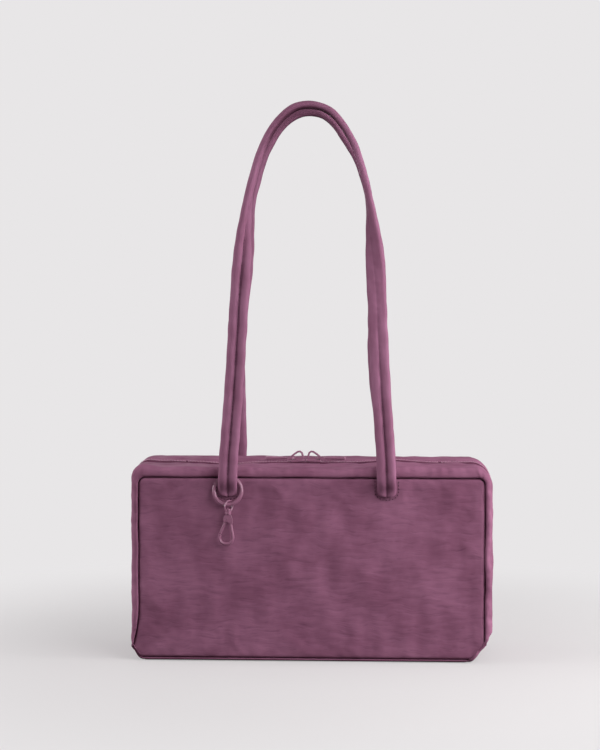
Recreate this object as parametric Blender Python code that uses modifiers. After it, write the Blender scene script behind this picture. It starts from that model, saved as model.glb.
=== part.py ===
"""A boxy zip-top shoulder bag with two padded handles, a gate ring and a swivel snap hook.

Metres, +Z up. The origin is the middle of the base on the floor, the front faces -Y and the zip
runs along X. Every sub-part is its own object, and moving pieces have their origin on their axis.
"""

from math import asin, atan2, ceil, cos, pi, radians, sin, sqrt

import bmesh
import bpy
import numpy as np
from mathutils import Matrix, Vector

# Body of the bag
BAG_WIDTH = 0.302
BAG_DEPTH = 0.090
BAG_HEIGHT = 0.166
BAG_CROWN = 0.0012
TOP_CORNER_RADIUS = 0.0215
BOTTOM_CORNER_RADIUS = 0.014
FABRIC_THICKNESS = 0.0012
GAP = 0.0003

# Seam between a panel and the strips round it, seen from the front
SEAM_SIDE_INSET = 0.0073
SEAM_TOP_INSET = 0.009
SEAM_BOTTOM_INSET = 0.003
SEAM_CORNER_RADIUS = 0.009
SEAM_SET_BACK = 0.0008
LIP_DEPTH = 0.008
LIP_PROFILE_SHARES = ((0, 0.1), (0.34, 0), (0.8, 0.27), (1, 1))
PANEL_RIM = 0.003
PANEL_FLAT_INSET = 0.007

# Padding and lining
FOAM_THICKNESS = 0.003
FOAM_INSET = PANEL_FLAT_INSET + GAP
LINING_THICKNESS = 0.0005
LINING_TOP_DROP = 0.009
LINING_PLAN_RADIUS = 0.009
LINING_BOTTOM_RADIUS = 0.012
BOARD_THICKNESS = 0.002
BOARD_CORNER_RADIUS = 0.006
BOARD_MARGIN = 0.005

# Zip
ZIP_SLOT_HALF_WIDTH = 0.0048
MOUTH_END_INSET = 0.047
ZIP_END_DROP = 0.041
ZIP_END_MARGIN = 0.004
TAPE_HALF_WIDTH = 0.012
TAPE_THICKNESS = 0.0006
TOOTH_PITCH = 0.0028
TOOTH_THICKNESS = 0.0024
TOOTH_WIDTH = 0.00115
TOOTH_REACH = 0.0012
SPINE_INNER = 0.0017
SPINE_OUTER = 0.0027
FLAP_ROWS = 5

# Sliders, measured from the nose towards the tail
SLIDER_LENGTH = 0.0126
SLIDER_HALF_WIDTH = 0.0043
SLIDER_PLATE = 0.001
SLIDER_THROAT = 0.0029
SLIDER_FLANGE = 0.00065
SLIDER_FLANGE_DEPTH = 0.0009
SLIDER_MEETING_X = -0.0065
SLIDER_MEETING_GAP = 0.0012
SLIDER_PLATE_SHARES = ((0, 0.5), (0.05, 0.82), (0.16, 1), (0.4, 1), (0.72, 0.9), (0.95, 0.86), (1, 0.7))
DIAMOND_SHARES = ((0.03, 0.16), (0.14, 0.3), (0.4, 0))
RIDGE_SHARES = ((0.08, 0), (0.12, 1), (0.64, 1), (0.69, 0))
RIDGE_HALF_WIDTH = 0.0015
RIDGE_HEIGHT = 0.0026
CROWN_HEIGHT = 0.0084
CROWN_HALF_WIDTH = 0.0012
CROWN_THICKNESS = 0.0016
CROWN_SHARES = (
    (0.13, -0.08),
    (0.14, 0.42),
    (0.2, 0.76),
    (0.33, 0.92),
    (0.49, 0.88),
    (0.71, 0.63),
    (0.915, 0.36),
    (0.945, 0.16),
    (0.935, -0.08),
)

# Pull tabs
PULL_LENGTH = 0.0245
PULL_EYE_LENGTH = 0.0056
PULL_EYE_WIDTH = 0.0058
PULL_EYE_WALL = 0.0012
PULL_EYE_CORNER = 0.0015
PULL_EYE_THICKNESS = 0.0015
PULL_TAB_WIDTH = 0.005
PULL_TAB_THICKNESS = 0.003
PULL_PIVOT_SHARE = 0.79
PULL_PIVOT_RISE = 0.0015
PULL_TAB_SHARES = (
    (0, 0.62, 0.42),
    (0.05, 0.86, 0.62),
    (0.2, 0.92, 0.78),
    (0.62, 0.96, 0.8),
    (0.8, 1, 1),
    (0.94, 0.9, 0.96),
    (1, 0.6, 0.6),
)

# Handles
HANDLE_CENTRE_X = -0.003
HANDLE_HALF_SPAN = 0.0665
HANDLE_RISE = 0.3103
BACK_HANDLE_DROP = 0.004
HANDLE_APEX_Y = 0.013
HANDLE_STAND_OFF = 0.0056
HANDLE_STAND_RISE = 0.008
STRAP_WIDTH = 0.016
STRAP_THICKNESS = 0.0063
FOOT_THICKNESS = 0.0045
FOOT_LENGTH = 0.0195
SEWN_LENGTH = 0.008
FOLD_DROP = 0.0075
STRAP_TWIST_SHARES = (0.5, 0.8)
HANDLE_PATH_SHARES = (
    (1, 0),
    (0.987, 0.08),
    (0.937, 0.228),
    (0.9, 0.36),
    (0.869, 0.49),
    (0.823, 0.642),
    (0.771, 0.747),
    (0.703, 0.814),
    (0.575, 0.895),
    (0.394, 0.957),
    (0.205, 0.991),
    (0, 1),
)
STRAP_SECTION_SHARES = ((1, 0), (0.86, 0.68), (0.52, 1), (0.18, 0.66), (0, 0.34))
FOOT_END_SHARES = ((0, 0.72, 0.5), (0.1, 0.88, 0.8), (0.3, 0.99, 0.97), (0.5, 1, 1), (1, 1, 1))
LOBE_CENTRE_SHARE = 0.52
CORD_RADIUS = 0.0015
CORD_CLEARANCE = 0.0003
CORD_SIDES = 6
FOOT_STATIONS = 4

# Gate ring on the left front handle foot
RING_OUTER_RADIUS = 0.0134
RING_WIRE_RADIUS = 0.0018
RING_ASIDE = 0.0002
RING_DROP = 0.0139
RING_PANEL_CLEARANCE = 0.0005
RING_TILT = 0.107
RING_HANG_DROP = 0.003
RING_STEP = radians(13)
EYE_FACETS = 16
EYE_SIDES = 6
RING_GATE_HINGE = radians(148)
RING_GATE_CUT = radians(221)
GATE_WIRE_RADIUS = 0.0016
GATE_TONGUE_HALF = 0.0007
GATE_LUG_RADIUS = 0.0018
RING_CHEEK_WIDTH = 0.0024
RING_CUT_RUN = 0.003
GATE_LINK_WIDTH = 0.0024
RING_PIN_RADIUS = 0.0006
PIN_CLEARANCE = 0.00015

# Swivel snap hook, measured down from the middle of its eye
EYE_INNER_RADIUS = 0.004
EYE_WIRE_RADIUS = 0.0008
EYE_REST_ANGLE = radians(4.5)
EYE_TURN = radians(52)
EYE_OVER_WIRE = 0.0009
CLASP_TILT = radians(4.8)
BOSS_RADIUS = 0.0026
BOSS_TOP = 0.0034
BOSS_BOTTOM = 0.0067
RIVET_RADIUS = 0.0011
RIVET_BORE_RADIUS = 0.0014
RIVET_HEAD_RADIUS = 0.0019
RIVET_HEAD_HEIGHT = 0.0012
HOOK_TOP = 0.0070
HOOK_BOTTOM = 0.0331
HOOK_THICKNESS = 0.0036
HOOK_HALF_WIDTH = 0.0070
HOOK_BAR_RADIUS = 0.00135
HOOK_HEAD_SHARES = (
    (-0.36, 0),
    (0.36, 0),
    (0.56, 0.13),
    (0.63, 0.28),
    (0.26, 0.28),
    (0.14, 0.235),
    (-0.12, 0.225),
    (-0.38, 0.265),
    (-0.55, 0.16),
)
HOOK_BAR_SHARES = (
    (0.36, 0.14),
    (0.43, 0.32),
    (0.63, 0.53),
    (0.79, 0.7),
    (0.76, 0.82),
    (0.48, 0.92),
    (0, 0.953),
    (-0.48, 0.92),
    (-0.76, 0.82),
    (-0.79, 0.73),
    (-0.76, 0.66),
)
HOOK_FORK_SLOT = 0.0018
HOOK_FORK_SHARES = ((-1.1, 0.06), (0.08, 0.1), (0.16, 0.24), (0.05, 0.34), (-1.1, 0.34))
GATE_RIVET_SHARES = (-0.14, 0.15)
GATE_RIVET_RADIUS = 0.0007
GATE_LENGTH = 0.0131
GATE_BAR_START = 0.0034
GATE_BAR_RADIUS = 0.0012
GATE_WIDTH = 0.0021
GATE_PLATE = 0.0012
GATE_LEAN = radians(18.2)
SPRING_LENGTH = 0.0028
SPRING_WIDTH = 0.0009
SPRING_THICKNESS = 0.0003

# Working values
CUT_OVERRUN = 0.002
WELD = 0.00001
FLAT_ANGLE = radians(0.5)
DRAWING_SCALE = 1000

# Colours, linear, and finishes
FABRIC_COLOUR = (0.198, 0.078, 0.133, 1)
LINING_COLOUR = (0.14, 0.055, 0.095, 1)
FOAM_COLOUR = (0.7, 0.68, 0.64, 1)
BOARD_COLOUR = (0.35, 0.3, 0.24, 1)
CORD_COLOUR = (0.75, 0.73, 0.7, 1)
TEETH_COLOUR = (0.30, 0.14, 0.21, 1)
PAINT_COLOUR = (0.24, 0.11, 0.17, 1)

OUTER = "outer"
SEAM = "seam"


def clear_scene():
    for thing in list(bpy.data.objects):
        bpy.data.objects.remove(thing)


def new_collection(name):
    group = bpy.data.collections.new(name)
    bpy.context.scene.collection.children.link(group)
    return group


def new_material(name, colour, roughness, metallic=0):
    made = bpy.data.materials.new(name)
    made.use_nodes = True
    made.diffuse_color = colour
    shader = made.node_tree.nodes["Principled BSDF"]
    shader.inputs["Base Color"].default_value = colour
    shader.inputs["Roughness"].default_value = roughness
    shader.inputs["Metallic"].default_value = metallic
    return made


def add_object(name, mesh, group, material=None, origin=None):
    """Links a mesh given in world space, and puts the object's origin where it turns."""
    if material:
        mesh.materials.append(material)
    if origin is not None:
        mesh.transform(Matrix.Translation(-Vector(origin)))
    thing = bpy.data.objects.new(name, mesh)
    if origin is not None:
        thing.location = origin
    group.objects.link(thing)
    return thing


def smooth(thing, angle=radians(40)):
    thing.data.shade_smooth()
    thing.data.set_sharp_from_angle(angle=angle)


def mesh_from(bm, name):
    mesh = bpy.data.meshes.new(name)
    bm.to_mesh(mesh)
    bm.free()
    return mesh


def face_outward(bm):
    """Turns every face of a closed mesh out, also where it is a comb that folds far in."""
    bmesh.ops.recalc_face_normals(bm, faces=bm.faces)
    if bm.calc_volume(signed=True) < 0:
        bmesh.ops.reverse_faces(bm, faces=bm.faces)


def mapped_grid(points):
    """A bmesh grid whose vertices are moved to an array of points, rows by columns."""
    rows, columns = points.shape[:2]
    bm = bmesh.new()
    bmesh.ops.create_grid(bm, x_segments=rows - 1, y_segments=columns - 1, size=1)
    for vertex in bm.verts:
        row = round((vertex.co.x + 1) / 2 * (rows - 1))
        column = round((vertex.co.y + 1) / 2 * (columns - 1))
        vertex.co = points[row, column]
    return bm


def open_shell(name, points, thickness, group, material, flip=False, origin=None, keep=None):
    """A curved sheet through a grid of points, with Solidify giving it its wall inward."""
    bm = mapped_grid(points)
    if keep:
        lost = [face for face in bm.faces if not keep(face.calc_center_median())]
        bmesh.ops.delete(bm, geom=lost, context="FACES")
    if flip:
        bmesh.ops.reverse_faces(bm, faces=bm.faces)
    thing = add_object(name, mesh_from(bm, name), group, material, origin)
    thicken(thing, thickness)
    return thing


def thicken(thing, thickness):
    wall = thing.modifiers.new("wall", "SOLIDIFY")
    wall.thickness = thickness
    wall.offset = -1
    wall.use_even_offset = True


def lofted_bm(rings):
    """A closed tube through rings of points, with a face over each end."""
    rings = np.asarray(rings)
    closed = np.concatenate([rings, rings[:, :1]], axis=1)
    bm = mapped_grid(closed)
    bmesh.ops.remove_doubles(bm, verts=bm.verts, dist=WELD)
    border = [edge for edge in bm.edges if len(edge.link_faces) == 1]
    bmesh.ops.holes_fill(bm, edges=border, sides=0)
    face_outward(bm)
    return bm


def loft(name, rings, group, material=None, origin=None, split=False):
    """A closed tube as an object. Where it twists beside another one, both get the same diagonals."""
    bm = lofted_bm(rings)
    if split:
        bmesh.ops.triangulate(bm, faces=bm.faces, quad_method="FIXED")
    thing = add_object(name, mesh_from(bm, name), group, material, origin)
    smooth(thing)
    return thing


def cap_loop(bm, level):
    """Closes the border loop that has the given test true at all its points."""
    border = [
        edge
        for edge in bm.edges
        if len(edge.link_faces) == 1 and all(level(vertex.co) for vertex in edge.verts)
    ]
    bmesh.ops.contextual_create(bm, geom=border)


def smooth_path(points, spans):
    """Points along a Catmull-Rom curve through the given ones."""
    points = np.asarray(points, float)
    first = 2 * points[0] - points[1]
    last = 2 * points[-1] - points[-2]
    padded = np.vstack([first, points, last])
    out = []
    for i in range(len(points) - 1):
        before, start, end, after = padded[i : i + 4]
        for share in np.arange(spans) / spans:
            out.append(
                0.5
                * (
                    2 * start
                    + (end - before) * share
                    + (2 * before - 5 * start + 4 * end - after) * share**2
                    + (3 * start - before - 3 * end + after) * share**3
                )
            )
    out.append(points[-1])
    return np.array(out)


def directions(path):
    along = np.gradient(path, axis=0)
    return along / np.linalg.norm(along, axis=1, keepdims=True)


def swept_rings(path, across, section):
    """Rings that carry a flat section along a path, its first axis kept on one direction."""
    along = directions(path)
    across = np.asarray(across, float)
    up = np.cross(along, across)
    up /= np.linalg.norm(up, axis=1, keepdims=True)
    section = np.asarray(section)
    return path[:, None] + section[None, :, :1] * across + section[None, :, 1:] * up[:, None]


def circle(radius, sides):
    angles = 2 * pi * (np.arange(sides) + 0.5) / sides
    return np.column_stack([radius * np.cos(angles), radius * np.sin(angles)])


def make_cutter(thing):
    thing.hide_render = True
    thing.display_type = "WIRE"


def combine(thing, tool, operation):
    make_cutter(tool)
    step = thing.modifiers.new(tool.name, "BOOLEAN")
    step.object = tool
    step.operation = operation
    step.solver = "EXACT"


def extruded(name, outline, thickness, group, matrix, material=None, hole=None, origin=None):
    """A flat outline made a plate about its own plane. It is drawn large, where its fill is exact."""
    curve = bpy.data.curves.new(name, "CURVE")
    curve.dimensions = "2D"
    curve.fill_mode = "BOTH"
    curve.extrude = thickness / 2 * DRAWING_SCALE
    for points in (outline, hole):
        if points is None:
            continue
        spline = curve.splines.new("POLY")
        spline.points.add(len(points) - 1)
        for point, (x, y) in zip(spline.points, points):
            point.co = (x * DRAWING_SCALE, y * DRAWING_SCALE, 0, 1)
        spline.use_cyclic_u = True
    shrink = Matrix.Scale(1 / DRAWING_SCALE, 4)
    return curve_as_mesh(name, curve, group, matrix @ shrink, material, origin, WELD * DRAWING_SCALE)


def curve_as_mesh(name, curve, group, matrix, material, origin, weld=WELD):
    source = bpy.data.objects.new(name + "_curve", curve)
    group.objects.link(source)
    bpy.context.view_layer.update()
    graph = bpy.context.evaluated_depsgraph_get()
    mesh = bpy.data.meshes.new_from_object(source.evaluated_get(graph))
    bpy.data.objects.remove(source)
    bm = bmesh.new()
    bm.from_mesh(mesh)
    bmesh.ops.remove_doubles(bm, verts=bm.verts, dist=weld)
    bm.transform(matrix)
    face_outward(bm)
    bm.to_mesh(mesh)
    bm.free()
    return add_object(name, mesh, group, material, origin)


def wire(name, points, radius, group, material=None, origin=None, resolution=2):
    """A round wire along the given points, made a mesh so that it can be cut and joined."""
    curve = bpy.data.curves.new(name, "CURVE")
    curve.dimensions = "3D"
    curve.bevel_depth = radius
    curve.bevel_resolution = resolution
    curve.use_fill_caps = True
    spline = curve.splines.new("POLY")
    spline.points.add(len(points) - 1)
    for point, place in zip(spline.points, points):
        point.co = (*place, 1)
    thing = curve_as_mesh(name, curve, group, Matrix(), material, origin)
    smooth(thing)
    return thing


def cylinder(name, radius, depth, group, matrix, material=None, origin=None, top_radius=None, sides=16):
    bm = bmesh.new()
    bmesh.ops.create_cone(
        bm,
        cap_ends=True,
        segments=sides,
        radius1=radius,
        radius2=radius if top_radius is None else top_radius,
        depth=depth,
        matrix=matrix,
    )
    thing = add_object(name, mesh_from(bm, name), group, material, origin)
    smooth(thing)
    return thing


def box(name, size, group, matrix, material=None, origin=None):
    bm = bmesh.new()
    bmesh.ops.create_cube(bm, size=1, matrix=matrix @ Matrix.Diagonal((*size, 1)))
    return add_object(name, mesh_from(bm, name), group, material, origin)


# The upright outline of the body, with its frame as half width, bottom, top and two corner radii
def frame_of(kind):
    outer = np.array(
        [
            BAG_WIDTH / 2 - BAG_CROWN,
            0,
            BAG_HEIGHT - BAG_CROWN,
            BOTTOM_CORNER_RADIUS,
            TOP_CORNER_RADIUS,
        ]
    )
    if kind == OUTER:
        return outer
    return np.array(
        [
            BAG_WIDTH / 2 - SEAM_SIDE_INSET,
            SEAM_BOTTOM_INSET,
            BAG_HEIGHT - SEAM_TOP_INSET,
            SEAM_CORNER_RADIUS,
            SEAM_CORNER_RADIUS,
        ]
    )


def inset_frame(frame, amount):
    half, bottom, top, low, high = frame
    least = amount / 4
    return np.array(
        [half - amount, bottom + amount, top - amount, max(low - amount, least), max(high - amount, least)]
    )


def outline_point(frame, kind, value, side):
    """One point of the outline: x and z for a place on a side, a corner, the top or the base."""
    half, bottom, top, low, high = frame
    if kind == "side":
        return side * half, value
    if kind == "top":
        return value, top
    if kind == "base":
        return value, bottom
    turn = value * pi / 2
    if kind == "top_corner":
        return side * (half - high + high * cos(turn)), top - high + high * sin(turn)
    return side * (half - low + low * cos(turn)), bottom + low - low * sin(turn)


def corner(kind, side, steps, rising=True):
    shares = [i / steps for i in range(steps + 1)]
    if not rising:
        shares.reverse()
    return [(kind, share, side) for share in shares]


def closed_outline(frame, steps):
    stations = (
        corner("top_corner", 1, steps)
        + corner("top_corner", -1, steps, rising=False)
        + corner("bottom_corner", -1, steps)
        + corner("bottom_corner", 1, steps, rising=False)
    )
    return [outline_point(frame, *station) for station in stations]


def hinge_y():
    return BAG_DEPTH / 2 - LIP_DEPTH


def mouth_half():
    """Half the length of the mouth, which ends short of the top corners."""
    return BAG_WIDTH / 2 - MOUTH_END_INSET


def zip_end_height():
    return BAG_HEIGHT - ZIP_END_DROP


def lip_rows():
    """Rows of a strip from its seam to the line where its top starts: share of the frame, crown, y."""
    return [(share, 0, BAG_DEPTH / 2 - depth * LIP_DEPTH) for share, depth in LIP_PROFILE_SHARES]


def crown_share(y):
    return 1 - (y / hinge_y()) ** 2


def flat_rows(start, end, count):
    return [(1, crown_share(y), y) for y in np.linspace(start, end, count)]


def band_points(stations, rows, front):
    """The strip round the body: each row is a scaled outline at its own depth."""
    outer = frame_of(OUTER)
    seam = frame_of(SEAM)
    side = -1 if front else 1
    grid = np.empty((len(stations), len(rows), 3))
    for j, (share, crown, y) in enumerate(rows):
        frame = seam + (outer - seam) * share
        frame[0] += crown * BAG_CROWN
        frame[2] += crown * BAG_CROWN
        frame[4] += crown * BAG_CROWN
        for i, (kind, value, flank) in enumerate(stations):
            x, z = outline_point(frame, kind, value, flank)
            grid[i, j] = x, side * y, z
    return grid


# The fabric body
def fabric_panel(name, front, group, material):
    """A flat sewn panel that rolls back a little to its seam."""
    seam = inset_frame(frame_of(SEAM), GAP)
    side = -1 if front else 1
    face = BAG_DEPTH / 2
    rings = (
        (0, face - SEAM_SET_BACK),
        (PANEL_RIM, face - SEAM_SET_BACK / 4),
        (PANEL_FLAT_INSET, face),
    )
    grid = []
    for amount, y in rings:
        loop = closed_outline(inset_frame(seam, amount), 4)
        grid.append([(x, side * y, z) for x, z in loop + loop[:1]])
    bm = mapped_grid(np.array(grid))
    bmesh.ops.remove_doubles(bm, verts=bm.verts, dist=WELD)
    cap_loop(bm, lambda co: abs(abs(co.y) - face) < WELD)
    bmesh.ops.recalc_face_normals(bm, faces=bm.faces)
    outward = sum(abs(f.normal.y) * np.sign(f.normal.y) * f.calc_area() for f in bm.faces)
    if outward * side < 0:
        bmesh.ops.reverse_faces(bm, faces=bm.faces)
    thing = add_object(name, mesh_from(bm, name), group, material)
    thicken(thing, FABRIC_THICKNESS)
    smooth(thing)
    return thing


def foam_sheet(name, front, group, material):
    frame = inset_frame(frame_of(SEAM), FOAM_INSET)
    side = -1 if front else 1
    depth = BAG_DEPTH / 2 - FABRIC_THICKNESS - GAP - FOAM_THICKNESS / 2
    matrix = Matrix.Translation((0, side * depth, 0)) @ Matrix.Rotation(pi / 2, 4, "X")
    return extruded(name, closed_outline(frame, 3), FOAM_THICKNESS, group, matrix, material)


def inner_depth():
    """From the middle to the inner face of the foam."""
    return BAG_DEPTH / 2 - FABRIC_THICKNESS - GAP - FOAM_THICKNESS - GAP


def board_top():
    return FABRIC_THICKNESS + GAP + BOARD_THICKNESS


def plan_loop(half_x, half_y, radius, steps):
    """A rounded rectangle in plan."""
    loop = []
    for quarter, (side_x, side_y) in enumerate(((1, 1), (-1, 1), (-1, -1), (1, -1))):
        for i in range(steps + 1):
            turn = (quarter + i / steps) * pi / 2
            loop.append(
                (
                    side_x * (half_x - radius) + radius * cos(turn),
                    side_y * (half_y - radius) + radius * sin(turn),
                )
            )
    return loop


def lining_tub(group, material):
    """The inner bag: open at its top, round at its lower edges, drawn in under the top corners."""
    half_x = BAG_WIDTH / 2 - BAG_CROWN - FABRIC_THICKNESS - GAP
    half_y = inner_depth()
    base = board_top() + GAP
    top = BAG_HEIGHT - LINING_TOP_DROP
    chain_half, chain_top, bend = chain_corner()
    inner_bend = bend - TAPE_THICKNESS / 2 - GAP
    rise = top - (chain_top - bend)
    shoulder = chain_half - bend + sqrt(inner_bend**2 - rise**2)
    rings = [(half_x - shoulder, 0, top), (0, 0, chain_top - bend)]
    for turn in (0, pi / 6, pi / 3, pi / 2):
        inward = LINING_BOTTOM_RADIUS * (1 - cos(turn))
        rings.append((inward, inward, base + LINING_BOTTOM_RADIUS * (1 - sin(turn))))
    grid = []
    for in_x, in_y, z in rings:
        radius = max(LINING_PLAN_RADIUS - in_y, LINING_PLAN_RADIUS / 3)
        loop = plan_loop(half_x - in_x, half_y - in_y, radius, 3)
        grid.append([(x, y, z) for x, y in loop + loop[:1]])
    bm = mapped_grid(np.array(grid))
    bmesh.ops.remove_doubles(bm, verts=bm.verts, dist=WELD)
    cap_loop(bm, lambda co: abs(co.z - base) < WELD)
    bmesh.ops.recalc_face_normals(bm, faces=bm.faces)
    if next(f for f in bm.faces if abs(f.normal.z) > 0.9).normal.z > 0:
        bmesh.ops.reverse_faces(bm, faces=bm.faces)
    thing = add_object("lining", mesh_from(bm, "lining"), group, material)
    thicken(thing, LINING_THICKNESS)
    smooth(thing)
    return thing


def base_board(group, material):
    half_x = BAG_WIDTH / 2 - BOTTOM_CORNER_RADIUS - BOARD_MARGIN
    half_y = hinge_y() - BOARD_MARGIN / 4
    matrix = Matrix.Translation((0, 0, board_top() - BOARD_THICKNESS / 2))
    loop = plan_loop(half_x, half_y, BOARD_CORNER_RADIUS, 3)
    return extruded("base_board", loop, BOARD_THICKNESS, group, matrix, material)


def side_bottom_gusset(group, material):
    """The strip that runs down one side, under the base and up the other side."""
    top = zip_end_height() - GAP / 2
    heights = np.linspace(top, BOTTOM_CORNER_RADIUS, 3)[:-1]
    stations = [("side", z, -1) for z in heights]
    stations += corner("bottom_corner", -1, 4)
    stations += corner("bottom_corner", 1, 4, rising=False)
    stations += [("side", z, 1) for z in heights[::-1]]
    middle = hinge_y()
    rows = lip_rows() + flat_rows(middle / 2, -middle / 2, 3)
    back = [(share, crown, -y) for share, crown, y in lip_rows()[::-1]]
    points = band_points(stations, rows + back, front=True)
    thing = open_shell("side_bottom_gusset", points, FABRIC_THICKNESS, group, material, flip=True)
    smooth(thing)
    return thing


def zip_gusset(name, front, group, material):
    """The sewn part of the top strip: a lip along the mouth, and a whole end past it on each side."""
    low = zip_end_height() + GAP / 2
    mouth = mouth_half() + GAP / 2
    stations = (
        [("side", low, -1)]
        + corner("top_corner", -1, 8)
        + [("top", -mouth, -1), ("top", mouth, 1)]
        + corner("top_corner", 1, 8, rising=False)
        + [("side", low, 1)]
    )
    edge = hinge_y() + GAP / 2
    rows = lip_rows()
    rows[-1] = (1, 0, edge)
    rows += flat_rows(hinge_y() * 2 / 3, ZIP_SLOT_HALF_WIDTH, 3)
    points = band_points(stations, rows, front)

    def sewn(centre):
        return abs(centre.x) > mouth or abs(centre.y) > edge

    thing = open_shell(name, points, FABRIC_THICKNESS, group, material, flip=not front, keep=sewn)
    smooth(thing)
    return thing


def flap_origin(front):
    side = -1 if front else 1
    return 0, side * hinge_y(), BAG_HEIGHT - BAG_CROWN


def mouth_flap(name, front, group, material):
    """The middle of the top strip, from its hinge line at the lip to the zip."""
    half = mouth_half() - GAP / 2
    stations = [("top", -half, -1), ("top", 0, 1), ("top", half, 1)]
    rows = flat_rows(hinge_y() - GAP / 2, ZIP_SLOT_HALF_WIDTH, FLAP_ROWS)
    points = band_points(stations, rows, front)
    thing = open_shell(
        name, points, FABRIC_THICKNESS, group, material, flip=not front, origin=flap_origin(front)
    )
    smooth(thing)
    return thing


# The zip
def chain_z():
    """Height of the tape's middle plane, under the edge of the fabric."""
    edge = BAG_HEIGHT - BAG_CROWN * (1 - crown_share(ZIP_SLOT_HALF_WIDTH))
    return edge - FABRIC_THICKNESS - GAP - TAPE_THICKNESS / 2


def slider_tail(side):
    """Where a slider's tail ends with the mouth fully open."""
    return side * (mouth_half() + SLIDER_LENGTH / 2)


def chain_end():
    return slider_tail(1) + GAP


def tooth_places(phase):
    """Middles of the teeth along the mouth, none where the two sliders hold the halves apart."""
    half = chain_end() - GAP
    clear = SLIDER_MEETING_GAP / 2 + SLIDER_LENGTH * DIAMOND_SHARES[-1][0] + TOOTH_WIDTH
    count = int(2 * half / TOOTH_PITCH) - 1
    places = [-half + (i + phase) * TOOTH_PITCH for i in range(count)]
    return [x for x in places if abs(x - SLIDER_MEETING_X) > clear]


def comb(name, side, phase, group, material):
    """A spine with teeth that reach across the middle, as a plate of even thickness."""
    half = chain_end() - GAP
    edges = [-half]
    for x in tooth_places(phase):
        edges += [x - TOOTH_WIDTH / 2, x + TOOTH_WIDTH / 2]
    edges.append(half)
    low = chain_z() - TOOTH_THICKNESS / 2
    rows = (SPINE_OUTER, SPINE_INNER, -TOOTH_REACH)
    points = np.array([[(x, side * y, low) for y in rows] for x in edges])
    bm = mapped_grid(points)
    gaps = (np.array(edges[0::2]) + np.array(edges[1::2])) / 2
    lost = []
    for face in bm.faces:
        centre = face.calc_center_median()
        if side * centre.y < SPINE_INNER and np.abs(gaps - centre.x).min() < TOOTH_WIDTH / 4:
            lost.append(face)
    bmesh.ops.delete(bm, geom=lost, context="FACES")
    raised = bmesh.ops.extrude_face_region(bm, geom=bm.faces[:])
    top = [item for item in raised["geom"] if isinstance(item, bmesh.types.BMVert)]
    bmesh.ops.translate(bm, verts=top, vec=(0, 0, TOOTH_THICKNESS))
    bmesh.ops.dissolve_limit(bm, angle_limit=FLAT_ANGLE, verts=bm.verts, edges=bm.edges)
    face_outward(bm)
    return add_object(name, mesh_from(bm, name), group, material, flap_origin(side < 0))


def zip_chain(name, front, group, cutters, material):
    """One half of the mouth's zip: tape, edge cord and moulded teeth in one piece."""
    side = -1 if front else 1
    half = chain_end() - GAP
    chain = comb(name, side, 1 if front else 1.5, group, material)
    inner = (SPINE_INNER + SPINE_OUTER) / 2
    middle = (inner + TAPE_HALF_WIDTH) / 2
    size = (2 * half - 2 * GAP, TAPE_HALF_WIDTH - inner, TAPE_THICKNESS)
    at = Matrix.Translation((0, side * middle, chain_z()))
    combine(chain, box(name + "_tape", size, cutters, at), "UNION")
    return chain


def chain_corner():
    """Half width, height and corner radius of the tape's line under the fabric."""
    drop = BAG_HEIGHT - chain_z()
    return BAG_WIDTH / 2 - drop, chain_z(), TOP_CORNER_RADIUS + BAG_CROWN - drop


def zip_end(name, side, group, material):
    """The closed chain past the mouth: it goes over the corner and down the side under the fabric."""
    half, top, radius = chain_corner()
    step = TOOTH_PITCH / 2
    run = half - radius - chain_end()
    bend = radius * pi / 2
    fall = top - radius - zip_end_height() - ZIP_END_MARGIN
    count = int((run + bend + fall) / step)
    low = TAPE_THICKNESS / 2
    edge = ZIP_SLOT_HALF_WIDTH - GAP
    rings = []
    for i in range(count + 1):
        gone = i * step
        if gone < run:
            at, up = (chain_end() + gone, top), (0, 1)
        elif gone < run + bend:
            turn = pi / 2 - (gone - run) / radius
            up = (cos(turn), sin(turn))
            at = (half - radius + radius * up[0], top - radius + radius * up[1])
        else:
            at, up = (half, top - radius - (gone - run - bend)), (1, 0)
        rise = TOOTH_THICKNESS / 2 if i % 2 else TOOTH_THICKNESS / 4 + low
        section = (
            (-TAPE_HALF_WIDTH, -low),
            (TAPE_HALF_WIDTH, -low),
            (TAPE_HALF_WIDTH, low),
            (edge, low),
            (SPINE_OUTER, rise),
            (-SPINE_OUTER, rise),
            (-edge, low),
            (-TAPE_HALF_WIDTH, low),
        )
        rings.append([(side * (at[0] + up[0] * h), y, at[1] + up[1] * h) for y, h in section])
    return loft(name, rings, group, material)


def mirrored_outline(shares, length, half):
    """A closed outline from the points of its one side, as shares of a length and a half width."""
    one = [(along * length, out * half) for along, out in shares]
    return one + [(x, -y) for x, y in reversed(one) if y]


def slider_nose(side):
    return SLIDER_MEETING_X + side * SLIDER_MEETING_GAP / 2


def slider_place(side):
    """Turns slider sizes, with x from nose to tail, into world space."""
    return Matrix.Translation((slider_nose(side), 0, chain_z())) @ Matrix.Diagonal((side, 1, 1, 1))


def slider_top():
    return SLIDER_THROAT / 2 + SLIDER_PLATE


def turned_out(thing):
    """Faces outward again after a mirroring matrix."""
    bm = bmesh.new()
    bm.from_mesh(thing.data)
    face_outward(bm)
    bm.to_mesh(thing.data)
    bm.free()
    return thing


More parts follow.
